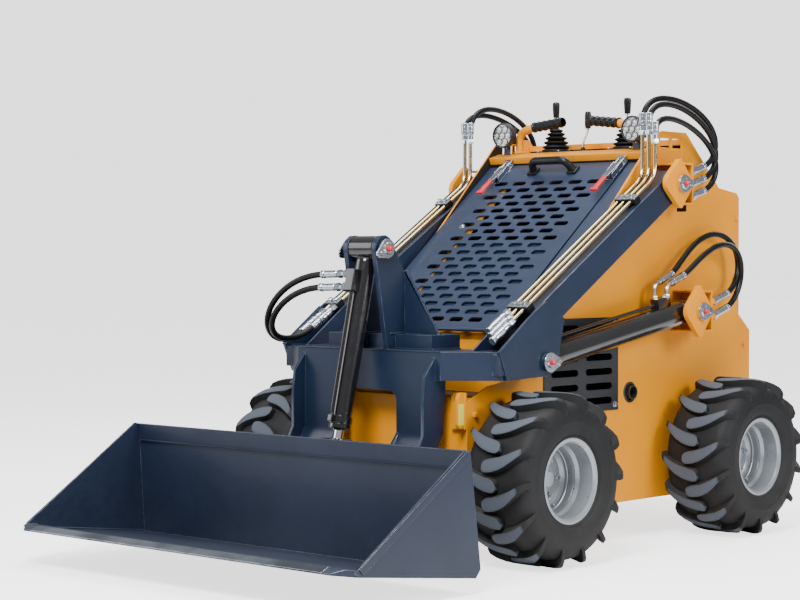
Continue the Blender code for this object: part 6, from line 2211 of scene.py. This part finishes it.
@dataclass
class Studio:
    """The pale floor, the soft lights and the camera."""

    floor_size: float = 60.0
    floor_colour: Colour = (0.86, 0.86, 0.87)
    floor_glow: float = 1.90
    sky: float = 0.40
    sky_seen: float = 1.80
    camera_place: tuple[float, float, float] = (3.7770, -4.4416, 0.8038)
    camera_dip: float = 1.1555
    camera_heading: float = 42.597
    lens: float = 92.13
    film: float = 36.0
    sight: float = 200.0

    def build(self) -> None:
        """Builds the studio."""
        self.floor()
        self.lights()
        self.camera()

    def floor(self) -> None:
        """Builds the floor, with the faintest mottling."""
        half = self.floor_size / 2
        mesh = bpy.data.meshes.new("floor")
        mesh.from_pydata([(-half, -half, 0), (half, -half, 0), (half, half, 0), (-half, half, 0)],
                         [], [(0, 1, 2, 3)])
        made = bpy.data.materials.new("pale_floor")
        made.use_nodes = True
        nodes = Sockets(made.node_tree)
        shader = made.node_tree.nodes["Principled BSDF"]
        coords = nodes.add("ShaderNodeTexCoord").outputs["Object"]
        cloud = nodes.stretch(nodes.noise(coords, 1.5, 3.0), 0.2, 0.8)
        pale = (*self.floor_colour, 1)
        colour = nodes.blend(nodes.maths("MULTIPLY", cloud, 0.3), pale, (0.83, 0.83, 0.84, 1))
        made.node_tree.links.new(colour, shader.inputs["Base Color"])
        shader.inputs["Roughness"].default_value = 0.7
        shader.inputs["Emission Color"].default_value = (1.0, 1.0, 1.0, 1)
        seen = nodes.add("ShaderNodeLightPath").outputs["Is Camera Ray"]
        made.node_tree.links.new(nodes.maths("MULTIPLY", seen, self.floor_glow),
                                 shader.inputs["Emission Strength"])
        mesh.materials.append(made)
        floor = bpy.data.objects.new("floor", mesh)
        bpy.context.scene.collection.objects.link(floor)

    def lights(self) -> None:
        """Places soft area lights round the machine and a pale sky."""
        lamps = (
            ("key", (1.6, -3.4, 4.0), 2.0, 420.0),
            ("left_fill", (4.8, 0.6, 2.6), 2.4, 190.0),
            ("right_fill", (-3.6, -3.0, 2.2), 3.0, 80.0),
            ("top", (0.0, 0.4, 4.6), 3.2, 170.0),
            ("rear", (-1.0, 4.6, 2.6), 3.0, 80.0),
        )
        target = Vector((0, 0, 0.5))
        for name, spot, size, power in lamps:
            data = bpy.data.lights.new(name, "AREA")
            data.energy = power
            data.size = size
            data.shape = "DISK"
            lamp = bpy.data.objects.new(name, data)
            lamp.location = spot
            lamp.rotation_euler = (target - Vector(spot)).to_track_quat("-Z", "Y").to_euler()
            bpy.context.scene.collection.objects.link(lamp)
        world = bpy.data.worlds.new("studio")
        world.use_nodes = True
        background = world.node_tree.nodes["Background"]
        background.inputs["Color"].default_value = (1.0, 1.0, 1.0, 1)
        nodes = Sockets(world.node_tree)
        seen = nodes.add("ShaderNodeLightPath").outputs["Is Camera Ray"]
        strength = nodes.maths("ADD", nodes.maths("MULTIPLY", seen, self.sky_seen), self.sky)
        world.node_tree.links.new(strength, background.inputs["Strength"])
        bpy.context.scene.world = world

    def camera(self) -> None:
        """Places the camera in front and to the left of the machine."""
        data = bpy.data.cameras.new("camera")
        data.lens = self.lens
        data.sensor_width = self.film
        data.clip_end = self.sight
        camera = bpy.data.objects.new("camera", data)
        camera.location = self.camera_place
        camera.rotation_euler = (math.radians(90 - self.camera_dip), 0,
                                 math.radians(self.camera_heading))
        bpy.context.scene.collection.objects.link(camera)
        bpy.context.scene.camera = camera


def cylinders(layout: Layout) -> list[Cylinder]:
    """The three cylinders."""
    found = [Cylinder(layout, "tilt_barrel", "tilt_rod", 0.0, layout.tilt_top, layout.tilt_rod,
                      0.028, 0.013, 0.492, 0.042, 0.066, 0.130, 0.024)]
    for side in SIDES:
        name = side_name(side)
        found.append(Cylinder(layout, f"lift_barrel_{name}", f"lift_rod_{name}",
                              side * layout.lift_x, layout.lift_rear, layout.lift_front, 0.035,
                              0.016, 0.662, 0.024, 0.085, 0.190, 0.022))
    return found


def main() -> None:
    """Builds every piece round the frame."""
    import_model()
    layout = Layout(Datum.from_frame())
    assemblies = [Studio(), Chassis(layout), Hood(layout), Controls(layout), Brackets(layout),
                  Wheel(layout), Loader(layout), *cylinders(layout), Bucket(layout), Door(layout),
                  Hoses(layout)]
    for assembly in assemblies:
        assembly.build()
        LOG.info("built %s", type(assembly).__name__)


if __name__ == "__main__":
    logging.basicConfig(level=logging.INFO, format="%(message)s")
    main()
